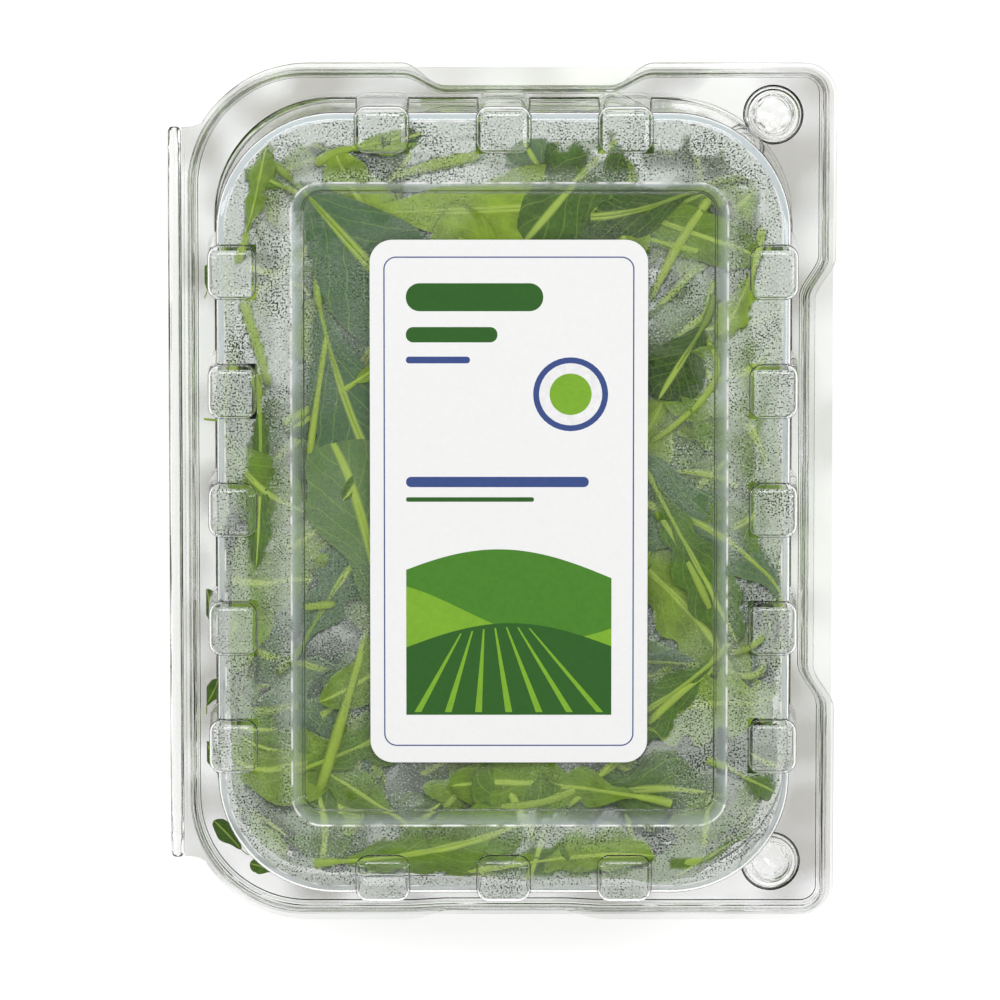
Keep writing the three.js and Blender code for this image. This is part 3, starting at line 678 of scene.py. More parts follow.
def mist_material():
    """Fog of fine droplets: a pale veil with painted dark specks and painted white glints, gone where a
    leaf touches, and painted light along the lid's folds.
    """
    made = Shading("mist")
    gap = made.node("ShaderNodeAttribute", {"attribute_name": "gap"}).outputs["Fac"]
    spot = made.split("ShaderNodeSeparateXYZ", made.place)

    # The veil's density: by cloudy patches, by how near the next leaf is, and more at the box's far end.
    cloud = made.larger(made.ramp(made.noise(44.0), [(0.42, 0.25), (0.6, 1.35)]), made.times(gap, 1.1))
    ruffle = made.noise(240.0, 1.0)
    ragged = made.maths("MULTIPLY_ADD", made.maths("SUBTRACT", ruffle, 0.5), 0.16, gap)
    dry = made.ramp(ragged, [(0.045, 0.0), (0.055, 0.04), (0.2, 0.075), (0.35, 0.15), (0.6, 0.32),
                             (0.9, 0.5)])
    upper = made.larger(made.maths("MULTIPLY_ADD", spot[1], 10.0, 1.0), 0.9)
    edge = made.maths("MULTIPLY_ADD", ruffle, 0.3, made.cells("F1", 95.0))
    holes = made.ramp(made.maths("MULTIPLY_ADD", gap, 0.5, edge), [(0.33, 0.0), (0.35, 1)])
    veil = made.times(cloud, dry, holes, upper)

    # Painted light along the lid's folds: a pale bluish veil, partly fog and partly painted reflection, on
    # the recess's slope and the dome's shoulder, a dark line of painted shade at the recess's foot, and
    # white painted highlights along its crest and the shoulder's brink.
    in_panel, in_dome = depth_inside(made, spot, PANEL), depth_inside(made, spot, DOME)
    below_lugs = made.maths("LESS_THAN", spot[2], (PARTING + DOME_TOP + 0.5) * MM)
    bands = (
        (in_panel, [(-0.2, 0), (0.1, 1), (0.9, 0.8), (2.0, 0.15), (2.4, 0)]),
        (in_panel, [(2.1, 0), (2.25, 1), (2.5, 1), (2.7, 0)]),
        (in_panel, [(-0.6, 0), (-0.4, 1), (-0.2, 1), (0.0, 0)]),
        (in_dome, [(1.8, 1), (2.1, 0)]),
        (in_dome, [(1.85, 0), (2.0, 1), (2.15, 1), (2.35, 0)]),
    )
    slope, foot, crest, shoulder, brink = [
        made.times(band(made, distance, stops), below_lugs) for distance, stops in bands]
    ridge_highlights = made.times(made.larger(crest, brink), made.ramp(ruffle, [(0.4, 0.15), (0.56, 1)]))
    folds = made.larger(slope, shoulder)

    # Painted droplet light: dark specks of painted shade and white glints of painted highlight, laid in the
    # veil.
    grain = made.noise(2500.0, 1.0)
    uneven = made.maths("MULTIPLY_ADD", made.maths("SUBTRACT", made.noise(130.0, 0.0), 0.5), 0.22, grain)
    calm = made.maths("SUBTRACT", 1.0, folds)
    painted_dark_speck = made.times(made.ramp(uneven, [(0.36, 1), (0.42, 0)]), calm)
    glint = made.times(made.ramp(grain, [(0.58, 0), (0.66, 1)]), calm)
    marks = made.times(painted_dark_speck, made.smaller(made.times(veil, 5.0), 0.85))
    painted_glints = made.times(glint, made.smaller(made.times(veil, 2.2), 0.5))
    for part in (made.times(slope, 0.42), made.times(shoulder, 0.2), marks, painted_glints, made.times(foot, 0.7),
                 made.times(ridge_highlights, 0.85)):
        veil = made.larger(veil, part)
    tone = made.blend(made.times(glint, 0.6), (0.62, 0.67, 0.62), (0.97, 0.98, 0.97))
    # Colours of painted light: the dark specks, the bluish sheen of the folds, the dark foot line and the
    # white ridge highlights.
    inks = ((painted_dark_speck, (0.02, 0.035, 0.015)), (folds, (0.58, 0.65, 0.67)), (foot, (0.015, 0.04, 0.008)),
            (ridge_highlights, grey(0.95)))
    for share, colour in inks:
        tone = made.blend(share, tone, colour)
    through = made.node("ShaderNodeBsdfTransparent", Color=grey(1)).outputs[0]
    white = made.node("ShaderNodeBsdfDiffuse", Color=tone).outputs[0]
    return made.finish(made.mix(made.smaller(veil, 0.95), through, white))


def water_material():
    """Clear drops, dark at the rim where they bend light most."""
    made = Shading("water")
    facing = made.node("ShaderNodeLayerWeight", Blend=0.5).outputs["Facing"]
    tint = made.ramp(facing, [(0.0, 1.0), (0.6, 0.85), (1.0, 0.45)])
    through = made.node("ShaderNodeBsdfTransparent", Color=tint).outputs[0]
    shine = made.node("ShaderNodeBsdfGlossy", Roughness=0.06).outputs[0]
    edge = made.node("ShaderNodeFresnel", IOR=WATER_IOR).outputs[0]
    return made.finish(made.mix(edge, through, shine))


def plain_material(name, colour, roughness, fibre=0.03, scale=900.0):
    """An even colour with a faint grain."""
    made = Shading(name)
    grain = made.noise(scale, 4.0)
    low = tuple(c * (1 - fibre) for c in colour)
    high = tuple(min(c * (1 + fibre), 1) for c in colour)
    shader = made.node("ShaderNodeBsdfPrincipled", Roughness=roughness,
                       Base_Color=made.ramp(grain, [(0.3, low), (0.7, high)]),
                       Normal=made.bump(grain, 0.15, 0.0002))
    return made.finish(shader.outputs[0])


# ---- The space the leaves lie in ----

WALL_CLEARANCE = 0.6
WRAP_RADIUS = 8.0
HEAP_FLOOR = 1.2
CAVITY_IN = dict(CAVITY, left=CAVITY["left"] + WALL_CLEARANCE, right=CAVITY["right"] - WALL_CLEARANCE,
                 half=CAVITY["half"] - WALL_CLEARANCE)


def inside(points, box):
    """How far plan points lie inside a rounded rectangle, and the ways straight out of it."""
    middle = (box["left"] + box["right"]) / 2
    half = np.array([(box["right"] - box["left"]) / 2, box["half"]])
    rel = points - np.array([middle, 0.0])
    signs = np.where(rel < 0, -1.0, 1.0)
    radius = np.where(rel[:, 0] < 0, box["corner_left"], box["corner_right"])[:, None]
    q = np.abs(rel) - (half - radius)
    outer = np.maximum(q, 0)
    length = np.linalg.norm(outer, axis=1)
    distance = radius[:, 0] - length - np.minimum(q.max(axis=1), 0)
    straight = np.where(q[:, :1] > q[:, 1:], np.array([[1.0, 0.0]]), np.array([[0.0, 1.0]]))
    ways = np.where(length[:, None] > 1e-6, outer / np.maximum(length, 1e-6)[:, None], straight)
    return distance, ways * signs


def ceiling(points):
    """The underside of the lid over plan points, above the parting plane, eased across the recess."""
    outside = -inside(points, PANEL)[0]
    ease = np.clip((outside - 0.8) / 5, 0, 1)
    ease = ease * ease * (3 - 2 * ease)
    return (PANEL_TOP + (DOME_TOP - PANEL_TOP) * ease) - SHEET


def wrapped(plan, depth):
    """Plan points laid under the lid at some depth, those past the edge turned down the walls."""
    distance, ways = inside(plan, CAVITY_IN)
    past = np.maximum(WRAP_RADIUS - distance, 0)
    angle = np.minimum(past / WRAP_RADIUS, math.pi / 2)
    extra = past - angle * WRAP_RADIUS
    drop = WRAP_RADIUS * (1 - np.cos(angle)) + extra
    top = ceiling(plan - ways * np.maximum(past, 0)[:, None])
    height = top - drop - depth * np.cos(angle)
    taper = WALL_TAPER * np.clip((LEDGE - height) / (LEDGE + PARTING), 0, 1)
    sideways = WRAP_RADIUS - WRAP_RADIUS * np.sin(angle) + depth * np.sin(angle) + taper
    flat = plan + ways * (distance - np.where(past > 0, sideways, distance))[:, None]
    floor = HEAP_FLOOR - PARTING
    return np.column_stack([flat, PARTING + np.maximum(height, floor)])


# ---- Leaves ----

LEAST_DEPTH = 0.3
UNDERSIDE_SHARE = 0.3
ROWS = 38
COLUMNS = 8
STEM_SIDES = 6
STEM_STEPS = 16
STEM_PLACE = 0.62


class Heap:
    """Gathers many small meshes into one, with a place on the leaf and a shade for each corner."""

    def __init__(self):
        self.vertices, self.faces, self.places, self.shades, self.count = [], [], [], [], 0

    def add(self, vertices, faces, places, shades):
        self.vertices.append(vertices)
        self.faces.append(np.asarray(faces) + self.count)
        self.places.append(places)
        self.shades.append(shades)
        self.count += len(vertices)

    def build(self, name, material):
        faces = np.concatenate(self.faces)
        piece = make_object(name, np.concatenate(self.vertices), as_tuples(faces))
        mesh = piece.data
        places, shades = np.concatenate(self.places), np.concatenate(self.shades)
        corners = np.empty(len(mesh.loops), dtype=np.int32)
        mesh.loops.foreach_get("vertex_index", corners)
        layer = mesh.uv_layers.new(name="leaf")
        layer.uv.foreach_set("vector", places[corners].ravel())
        store(mesh, "shade", shades.T)
        mesh.shade_smooth()
        give(piece, material)
        return piece


def as_tuples(faces):
    return [tuple(int(i) for i in face) for face in faces]


def grid_faces(rows, columns):
    index = np.arange(rows * columns).reshape(rows, columns)
    a, b, c, d = index[:-1, :-1], index[:-1, 1:], index[1:, 1:], index[1:, :-1]
    return np.stack([a.ravel(), b.ravel(), c.ravel(), d.ravel()], axis=1)


def centre_line(start, heading, length, bends, steps):
    """Plan points and headings along a line that bends evenly, then back."""
    share = np.linspace(0, 1, steps)
    headings = heading + bends[0] * share + bends[1] * share * share
    step = length / (steps - 1)
    moves = np.stack([np.cos(headings), np.sin(headings)], axis=1) * step
    halfway = np.cumsum((moves[:-1] + moves[1:]) / 2, axis=0)
    return np.array(start) + np.concatenate([[[0, 0]], halfway]), headings


def tube(heap, points, radii, shade, pale, flat=1.0):
    """A stem along 3-D points."""
    ways = np.gradient(points, axis=0)
    ways /= np.linalg.norm(ways, axis=1)[:, None] + 1e-9
    side = np.cross(ways, [0, 0, 1.0])
    side /= np.linalg.norm(side, axis=1)[:, None] + 1e-9
    up = np.cross(side, ways)
    angles = np.arange(STEM_SIDES) * 2 * math.pi / STEM_SIDES
    wide, tall = np.cos(angles)[None, :, None], (np.sin(angles) * flat)[None, :, None]
    ring = side[:, None] * wide + up[:, None] * tall
    vertices = points[:, None] + ring * radii[:, None, None]
    rows = len(points)
    index = np.arange(rows * STEM_SIDES).reshape(rows, STEM_SIDES)
    after = np.roll(index, -1, axis=1)
    faces = np.stack([part.ravel() for part in (index[:-1], after[:-1], after[1:], index[1:])], axis=1)
    along = np.repeat(np.linspace(0, 1, rows), STEM_SIDES)
    places = np.column_stack([along, np.full(rows * STEM_SIDES, STEM_PLACE)])
    shades = np.tile([shade, pale, 0.0], (rows * STEM_SIDES, 1))
    heap.add(vertices.reshape(-1, 3), faces, places, shades)


def half_widths(share, width, lobes, depth, phase):
    """Half the blade's width along the leaf: a spoon whose sides are cut into rounded lobes."""
    spoon = np.sin(np.pi * share ** 0.85) ** 0.62 * (0.5 + 0.62 * share)
    spoon = np.where(share > 0.7, spoon, spoon * (0.72 + 0.28 * (share / 0.7)))
    notches = (0.5 - 0.5 * np.cos(2 * np.pi * (share * lobes + phase))) ** 1.7
    fade = np.clip(1.25 - share * 0.9, 0.25, 1)
    return width / 2 * spoon * (1 - depth * notches * fade)


def add_leaf(heap, start, heading, length, width, depth_under, shade, stem=20, lobes=4, notch=0.5,
             bends=(0.3, -0.5), curl=1.5, wave=0.9, slope=0.0, thick=1.0, under=0.0, place=None):
    place = place or wrapped
    share = np.linspace(0, 1, ROWS)
    line, headings = centre_line(start, heading, length, bends, ROWS)
    normal = np.stack([-np.sin(headings), np.cos(headings)], axis=1)
    ahead = np.stack([np.cos(headings), np.sin(headings)], axis=1)
    across = np.linspace(-1, 1, COLUMNS + 1)
    phases = rng.uniform(0, 0.3, 2)
    widths = [half_widths(share, width, lobes, notch, p) for p in phases]
    half = np.where(across[None, :] < 0, widths[0][:, None], widths[1][:, None])
    sideways = half * across[None, :]
    forward = np.abs(sideways) * 0.38 * (1 - share[:, None])
    plan = line[:, None] + normal[:, None] * sideways[..., None] + ahead[:, None] * forward[..., None]
    ripple = np.sin(share[:, None] * rng.uniform(9, 17) + across[None, :] * 2 + rng.uniform(0, 6.3))
    lift = curl * across[None, :] ** 2 + wave * ripple * np.abs(across[None, :]) ** 1.5
    lift = lift + 0.5 * np.sin(share[:, None] * rng.uniform(3, 7) + rng.uniform(0, 6.3))
    lift -= lift.min()
    depth = np.maximum(depth_under + lift + slope * share[:, None], LEAST_DEPTH)
    vertices = place(plan.reshape(-1, 2), depth.ravel())
    places = np.column_stack([np.repeat(share, COLUMNS + 1), np.tile(0.5 + across / 2, ROWS)])
    shades = np.tile([shade, 0.0, under], (len(places), 1))
    heap.add(vertices, grid_faces(ROWS, COLUMNS + 1), places, shades)
    back = centre_line(start, heading + math.pi, stem, (rng.uniform(-0.5, 0.5), 0), STEM_STEPS)[0]
    middle = depth[:, COLUMNS // 2]
    path = np.concatenate([back[::-1][:-1], line[:-4:2]])
    sink = np.linspace(rng.uniform(0, 3), 0, STEM_STEPS)[:-1]
    depths = np.concatenate([middle[0] + sink, middle[:-4:2]])
    stalk, rib = np.linspace(1.15, 0.85, len(sink)), np.linspace(0.62, 0.16, len(path) - len(sink))
    radii = np.concatenate([stalk, rib]) * thick
    spine = place(path, np.maximum(depths + 0.2, radii + LEAST_DEPTH))
    tube(heap, spine, radii, min(shade + 0.3, 1), rng.uniform(0.3, 0.65), 0.75)


def add_stem(heap, points, radius, under, shade=0.8, pale=0.75):
    """A bare stalk through plan points, given straight from the photograph's layout."""
    points = np.array(points, float)
    share = np.linspace(0, 1, len(points))
    fine = np.linspace(0, 1, 22)
    if len(points) > 2:
        fit = [np.polyfit(share, points[:, i], 2) for i in (0, 1)]
        path = np.column_stack([np.polyval(f, fine) for f in fit])
    else:
        path = np.column_stack([np.interp(fine, share, points[:, i]) for i in (0, 1)])
    uneven = 1 + 0.09 * np.sin(fine * rng.uniform(6, 12) + rng.uniform(0, 6)) - 0.25 * fine
    radii = radius * uneven * np.clip(np.minimum(fine, 1 - fine) * 14 + 0.3, 0, 1)
    dive = 3.2 * np.abs(2 * fine - 1) ** 6
    tube(heap, wrapped(path, under + radius + dive), radii, shade, pale, 0.8)


def scatter_top(heap, count, low, high, reach=(60, 84), curl=2.2, slope=3.0):
    """Leaves that lie flat under the lid, at any heading."""
    for _ in range(count):
        length = rng.uniform(34, 64)
        x, y = rng.uniform(-reach[0], reach[0]), rng.uniform(-reach[1], reach[1])
        heading = rng.uniform(0, 2 * math.pi)
        start = (x - math.cos(heading) * length / 2, y - math.sin(heading) * length / 2)
        add_leaf(heap, start, heading, length, rng.uniform(16, 32), rng.uniform(low, high),
                 rng.uniform(0, 1), stem=rng.uniform(8, 26), lobes=rng.integers(2, 6),
                 notch=rng.uniform(0.1, 0.7), bends=(rng.uniform(-0.7, 0.7), rng.uniform(-0.8, 0.8)),
                 curl=rng.uniform(-0.4, curl), wave=rng.uniform(0.2, 1.0) * curl * 0.6,
                 slope=rng.uniform(-0.3, slope), under=float(rng.random() < UNDERSIDE_SHARE))


# Leaves and stalks that the photograph shows against the lid: start, heading in degrees, length, width,
# depth under the lid, shade, lobes, notch, and 1 where the pale underside shows.
SHOWN_LEAVES = [
    ((-46, 72), -48, 50, 36, 0.5, 0.35, 2, 0.08, 1),
    ((-40, 44), -78, 54, 27, 0.9, 0.3, 3, 0.15, 1),
    ((-30, 64), 2, 60, 25, 0.8, 1.0, 3, 0.2, 0),
    ((44, 39), -120, 19, 19, 0.35, 0.12, 2, 0.1, 0),
    ((-36, -80), 6, 42, 21, 0.4, 0.62, 5, 0.35, 0),
    ((-2, -82), 12, 36, 17, 0.7, 0.8, 4, 0.4, 0),
    ((-56, 60), 72, 24, 9, 0.35, 0.75, 3, 0.45, 0),
    ((-47, 70), 150, 13, 8, 0.4, 0.6, 2, 0.3, 0),
    ((-53, 24), -88, 38, 9, 0.35, 0.45, 5, 0.5, 0),
    ((51, -60), -20, 14, 9, 0.35, 0.5, 2, 0.4, 0),
    ((44, -80), 20, 15, 8, 0.35, 0.6, 2, 0.3, 0),
    ((55, 53), -108, 18, 9, 0.4, 0.95, 3, 0.4, 0),
    ((-33, 79), 12, 16, 11, 0.6, 0.9, 2, 0.2, 0),
    ((24, 83), -80, 34, 16, 0.7, 0.95, 4, 0.35, 0),
    ((50, 72), -150, 30, 18, 1.6, 0.6, 3, 0.5, 0),
    ((33, 4), -62, 40, 17, 0.6, 0.5, 4, 0.4, 0),
    ((46, -36), -140, 34, 20, 0.8, 0.45, 4, 0.3, 0),
    ((-44, -32), 60, 30, 20, 1.2, 0.2, 3, 0.5, 1),
    ((-44, -60), 20, 46, 22, 0.7, 0.55, 5, 0.5, 0),
    ((30, -66), 170, 42, 20, 0.6, 0.7, 4, 0.5, 0),
]

# Points of each stalk, its radius and its depth under the lid.
SHOWN_STALKS = [
    ([(-27, 71), (-16, 75), (-4, 77.4)], 1.9, 0.35),
    ([(15.5, 80), (19, 70), (26, 57)], 1.9, 0.45),
    ([(46, 68), (38, 56), (32, 44)], 1.3, 0.4),
    ([(44, 36), (46, 26), (31, 12)], 1.0, 0.3),
    ([(-42.5, 8), (-40, 26), (-37.5, 42)], 0.8, 0.3),
    ([(-40.5, -66), (-35, -48), (-29.5, -29)], 1.35, 0.35),
    ([(-58.5, 45.5), (-54, 37), (-51, 26)], 1.4, 0.9),
    ([(33, -1), (40, -12), (47, -27)], 1.1, 0.35),
    ([(31, -51), (39, -43), (47.5, -37)], 1.1, 0.4),
    ([(-3, -68.5), (12.6, -66), (27, -57)], 1.3, 0.35),
    ([(13.5, -69), (20, -63), (26, -56)], 1.0, 0.6),
    ([(58.5, -29), (54, -32), (50, -34)], 1.0, 0.5),
    ([(-44, -23.8), (-40, -23.2), (-36.5, -23)], 1.05, 0.3),
    ([(20, 57), (34, 60), (45, 66)], 0.9, 2.2),
]


# Leaf tips caught on the tray's ledge along the hinge: middle, heading, length, width and shade.
CAUGHT_TIPS = [
    ((-64.2, 47.7), 80, 6, 4.5, 0.55), ((-64.4, -26), 95, 8, 5.5, 0.3), ((-63.8, -45.5), 60, 7, 5, 0.4),
    ((-63.6, -60.5), 110, 9, 4.5, 0.35), ((-60.6, -77.5), 130, 9, 6, 0.25), ((-53, -84.8), 160, 6, 5, 0.5),
]


def on_ledge(plan, depth):
    """Flat on the tray's ledge, under the lid's plateau."""
    foot = STEP_SLOPE + 1.2
    distance, ways = inside(plan, inset(LIP, STEP_INSET + foot, STEP_INSET_LEFT + foot))
    plan = plan + ways * np.minimum(distance, 0)[:, None]
    return np.column_stack([plan, PARTING + LEDGE + 0.45 - np.clip(depth, 0.3, 0.6) * 0.5])


def add_caught(heap):
    for middle, heading, length, width, shade in CAUGHT_TIPS:
        turn = math.radians(heading)
        start = (middle[0] - math.cos(turn) * length / 2, middle[1] - math.sin(turn) * length / 2)
        add_leaf(heap, start, turn, length, width, 0.3, shade, stem=2, lobes=2, notch=0.2, bends=(0.1, 0),
                 curl=0.1, wave=0.1, thick=0.12, place=on_ledge)
    share = np.linspace(0, 1, 12)
    stalk = np.column_stack([-58 - 7.6 * share, 15.2 + 0.8 * share, np.full(12, PARTING + LEDGE + 0.29)])
    tube(heap, stalk, np.full(12, 0.26), 0.9, 0.8, 1.0)


def add_shown(heap):
    for start, heading, length, width, under_lid, shade, lobes, notch, under in SHOWN_LEAVES:
        bends = (rng.uniform(-0.25, 0.25), rng.uniform(-0.3, 0.3))
        add_leaf(heap, start, math.radians(heading), length, width, under_lid, shade,
                 stem=rng.uniform(4, 10), lobes=lobes, notch=notch, bends=bends, curl=0.25, wave=0.25,
                 slope=0.2, under=float(under))
    for points, radius, under_lid in SHOWN_STALKS:
        add_stem(heap, points, radius, under_lid, rng.uniform(0.75, 1.0), rng.uniform(0.5, 0.75))


def measured(points):
    """A closed outline with its first point again at the end, and how far along each point lies."""
    closed = np.concatenate([points, points[:1]])
    return closed, np.concatenate([[0], np.cumsum(np.linalg.norm(np.diff(closed, axis=0), axis=1))])


def scatter_sides(heap, count):
    """Leaves pressed against the tray's walls, all round."""
    closed, far = measured(outline(CAVITY_IN))
    for i in range(count):
        at = (i + rng.uniform(0, 1)) / count * far[-1]
        spot = np.array([np.interp(at, far, closed[:, k]) for k in (0, 1)])
        way = inside(spot[None], CAVITY_IN)[1][0]
        start = spot + way * rng.uniform(0, 58)
        heading = rng.uniform(0, 2 * math.pi)
        length = rng.uniform(30, 52)
        add_leaf(heap, start, heading, length, rng.uniform(18, 30), rng.uniform(0.1, 3.0),
                 rng.uniform(0, 0.9), stem=rng.uniform(6, 20), lobes=rng.integers(2, 6),
                 notch=rng.uniform(0.15, 0.6),
                 bends=(rng.uniform(-0.6, 0.6), rng.uniform(-0.6, 0.6)), curl=rng.uniform(-0.4, 1.2),
                 wave=rng.uniform(0.3, 1.2))


def evenly(points, count):
    """A closed outline's points spread evenly along it."""
    closed, far = measured(points)
    at = np.linspace(0, far[-1], count, endpoint=False)
    return np.column_stack([np.interp(at, far, closed[:, i]) for i in (0, 1)])


# The core's side from the middle of its floor to the middle of its top: inset from the wall, height.
CORE_PROFILE = [(40, 1.8), (17, 1.8), (13, 4), (11, 10), (9, 24), (8, 40), (7.5, 48), (8, 52), (10, 54),
                (15, 54.5), (24, 54.5), (45, 54)]
CORE_FLOOR = 1.3


def make_core():
    """The inside of the heap, rough all over, its dark green a painted shade between the leaves."""
    insets, heights = np.array(CORE_PROFILE).T
    far = np.concatenate([[0], np.cumsum(np.hypot(np.diff(insets), np.diff(heights)))])
    at = np.linspace(0, far[-1], 70)
    rings = [(evenly(outline(inset(CAVITY, a)), 260), z - PARTING)
             for a, z in zip(np.interp(at, far, insets), np.interp(at, far, heights))]
    core = loft("rocket_core", rings)
    mesh = core.data
    places, ways = read_vectors(mesh.vertices, "co") / MM, read_vectors(mesh.vertices, "normal")
    push = [noise.noise(Vector(p * 0.11)) * 1.8 + noise.noise(Vector(p * 0.3)) - 0.9 for p in places]
    places += ways * np.array(push)[:, None]
    places[:, 2] = np.maximum(places[:, 2], CORE_FLOOR)
    mesh.vertices.foreach_set("co", (places * MM).ravel())
    mesh.update()
    core.data.shade_smooth()
    return core


# ---- Mist and drops under the lid ----

MIST_STEP = 0.8
MIST_GAP = 0.05
MIST_SIGHT = 12
WIDE_GAP = 10


def grid_lines(low, high, extra):
    """Even lines between two places, with extra ones that push their near neighbours out."""
    even = list(np.arange(low, high, MIST_STEP)) + [high]
    free = [line for line in even if min(abs(line - e) for e in extra) > MIST_STEP * 0.45]
    return np.array(sorted(line for line in free + extra if low <= line <= high))


def make_mist(tree):
    """A film under the dome and in the lugs that knows how far below it the next leaf is."""
    lugs = lug_places()
    box = inset(DOME, 0.3 + SHEET)
    slopes = (0, 0.7, 1.5, 2.2)
    xs = [PANEL["left"] + s for s in slopes] + [PANEL["right"] - s for s in slopes]
    ys = [side * (PANEL["half"] - s) for s in slopes for side in (-1, 1)]
    for x, y, width, length in lugs:
        xs += [x - width / 2 + SHEET, x + width / 2 - SHEET]
        ys += [y - length / 2 + SHEET, y + length / 2 - SHEET]
    xs, ys = sorted(set(np.round(xs, 3))), sorted(set(np.round(ys, 3)))
    columns = grid_lines(box["left"], box["right"], xs)
    rows = grid_lines(-box["half"], box["half"], ys)
    grid_x, grid_y = np.meshgrid(columns, rows)
    plan = np.column_stack([grid_x.ravel(), grid_y.ravel()])
    distance, ways = inside(plan, box)
    plan = plan + ways * np.minimum(distance, 0)[:, None]
    in_panel = inside(plan, PANEL)[0]
    slope = np.clip(in_panel / PANEL_SLOPE, 0, 1)
    shoulder = np.clip(DOME_SHOULDER - np.maximum(distance, 0), 0, DOME_SHOULDER)
    sag = DOME_SHOULDER - np.sqrt(np.maximum(DOME_SHOULDER ** 2 - shoulder ** 2, 0))
    height = DOME_TOP - (DOME_TOP - PANEL_TOP) * slope - sag
    vertices = np.column_stack([plan, PARTING + height - SHEET - MIST_GAP])
    faces = grid_faces(len(rows), len(columns))
    middles = plan[faces].mean(axis=1)
    kept = (distance[faces] > -0.1).any(axis=1)
    for x, y, width, length in lugs:
        in_width = abs(middles[:, 0] - x) < width / 2 - SHEET
        kept &= ~(in_width & (abs(middles[:, 1] - y) < length / 2 - SHEET))
    blocks, parts, count = [vertices], [faces[kept]], len(vertices)
    for x, y, width, length in lugs:
        half_x, half_y = width / 2 - 1.5, length / 2 - 1.5
        gx, gy = np.meshgrid(np.linspace(-half_x, half_x, 12), np.linspace(-half_y, half_y, 13))
        top = np.full(gx.size, PARTING + LUG_TOP - LUG_CROWN - SHEET - MIST_GAP)
        blocks.append(np.column_stack([x + gx.ravel(), y + gy.ravel(), top]))
        parts.append(grid_faces(13, 12) + count)
        count += gx.size
    vertices, faces = np.concatenate(blocks), np.concatenate(parts)
    used = np.unique(faces)
    renumber = np.full(len(vertices), -1)
    renumber[used] = np.arange(len(used))
    vertices, faces = vertices[used], renumber[faces]
    mist = make_object("mist_film", vertices, as_tuples(faces))
    gaps = np.empty(len(vertices))
    for i, v in enumerate(vertices):
        hit = tree.ray_cast(Vector(v * MM), Vector((0, 0, -1)), MIST_SIGHT * MM)
        gaps[i] = min(hit[3] / MM / WIDE_GAP, 1) if hit[0] else 1
    store(mist.data, "gap", [gaps] * 3)
    mist.data.shade_smooth()
    return mist


def make_drops(count):
    """Round drops that hang from the flat parts of the lid."""
    sides, profile = 8, [(1.0, 0.0), (0.82, 0.28), (0.45, 0.46)]
    angles = np.arange(sides) * 2 * math.pi / sides
    blocks, total = [], 0
    box = inset(DOME, 3)
    last = (len(profile) - 1) * sides
    tip = len(profile) * sides
    triangles = [(last + i, last + (i + 1) % sides, tip) for i in range(sides)]
    every, lugs = [], lug_places()
    while len(blocks) < count:
        x, y = rng.uniform(box["left"], box["right"]), rng.uniform(-box["half"], box["half"])
        spot = np.array([[x, y]])
        depth_in = inside(spot, PANEL)[0][0]
        in_lug = [abs(x - at_x) < width / 2 + 0.8 and abs(y - at_y) < length / 2 + 0.8
                  for at_x, at_y, width, length in lugs]
        if inside(spot, box)[0][0] < 0 or -1.2 < depth_in < PANEL_SLOPE + 1.2 or any(in_lug):
            continue
        radius = 0.16 + 0.5 * rng.random() ** 5
        base = PARTING - SHEET + (PANEL_TOP if depth_in > 0 else DOME_TOP)
        squash = rng.uniform(0.85, 1.15)
        rings = [np.column_stack([x + np.cos(angles) * radius * r * squash,
                                  y + np.sin(angles) * radius * r / squash,
                                  np.full(sides, base - radius * h)]) for r, h in profile]
        end = [[x, y, base - radius * 0.52]]
        blocks.append(np.concatenate(rings + [end]))
        every += [tuple(total + i for i in f) for f in ring_faces(len(profile), sides) + triangles]
        total += tip + 1
    drops = make_object("water_drops", np.concatenate(blocks), every)
    drops.data.shade_smooth()
    return drops


# ---- Label ----

def sheet_of(name, shapes):
    """Thin printed shapes in one mesh: each an outline, its height over the paper and its ink."""
    vertices, faces, inks = [], [], []
    for points, level, ink in shapes:
        start = len(vertices)
        z = PARTING + LABEL_BASE + LABEL_THICKNESS + 0.012 * level
        vertices += [(x, y, z) for x, y in points]
        faces.append(tuple(range(start, start + len(points))))
        inks.append(ink)
    piece = make_object(name, vertices, faces)
    for face, ink in zip(piece.data.polygons, inks):
        face.material_index = ink
    return piece


def thin_frame(width, length, corner, thickness, ink):
    """A rectangular line with round corners, as its many short pieces."""
    x, y = LABEL["x"], LABEL["y"]
    outer = rounded_block(x, y, width, length, corner, 10)
    inner = rounded_block(x, y, width - 2 * thickness, length - 2 * thickness, corner - thickness, 10)
    after = [np.roll(line, -1, axis=0) for line in (outer, inner)]
    return [((a, b, c, d), 1, ink) for a, b, c, d in zip(outer, after[0], after[1], inner)]


def field(left, right, foot, tops, level, ink):
    """A rolling field with a flat foot."""
    xs = np.linspace(left, right, 48)
    heights = np.array([tops((x - left) / (right - left)) for x in xs])
    points = [(left, foot), (right, foot)] + list(zip(xs[::-1], heights[::-1]))
    return points, level, ink


def disc(x, y, radius, level, ink, steps=40):
    angles = np.linspace(0, 2 * math.pi, steps, endpoint=False)
    return list(zip(x + radius * np.cos(angles), y + radius * np.sin(angles))), level, ink


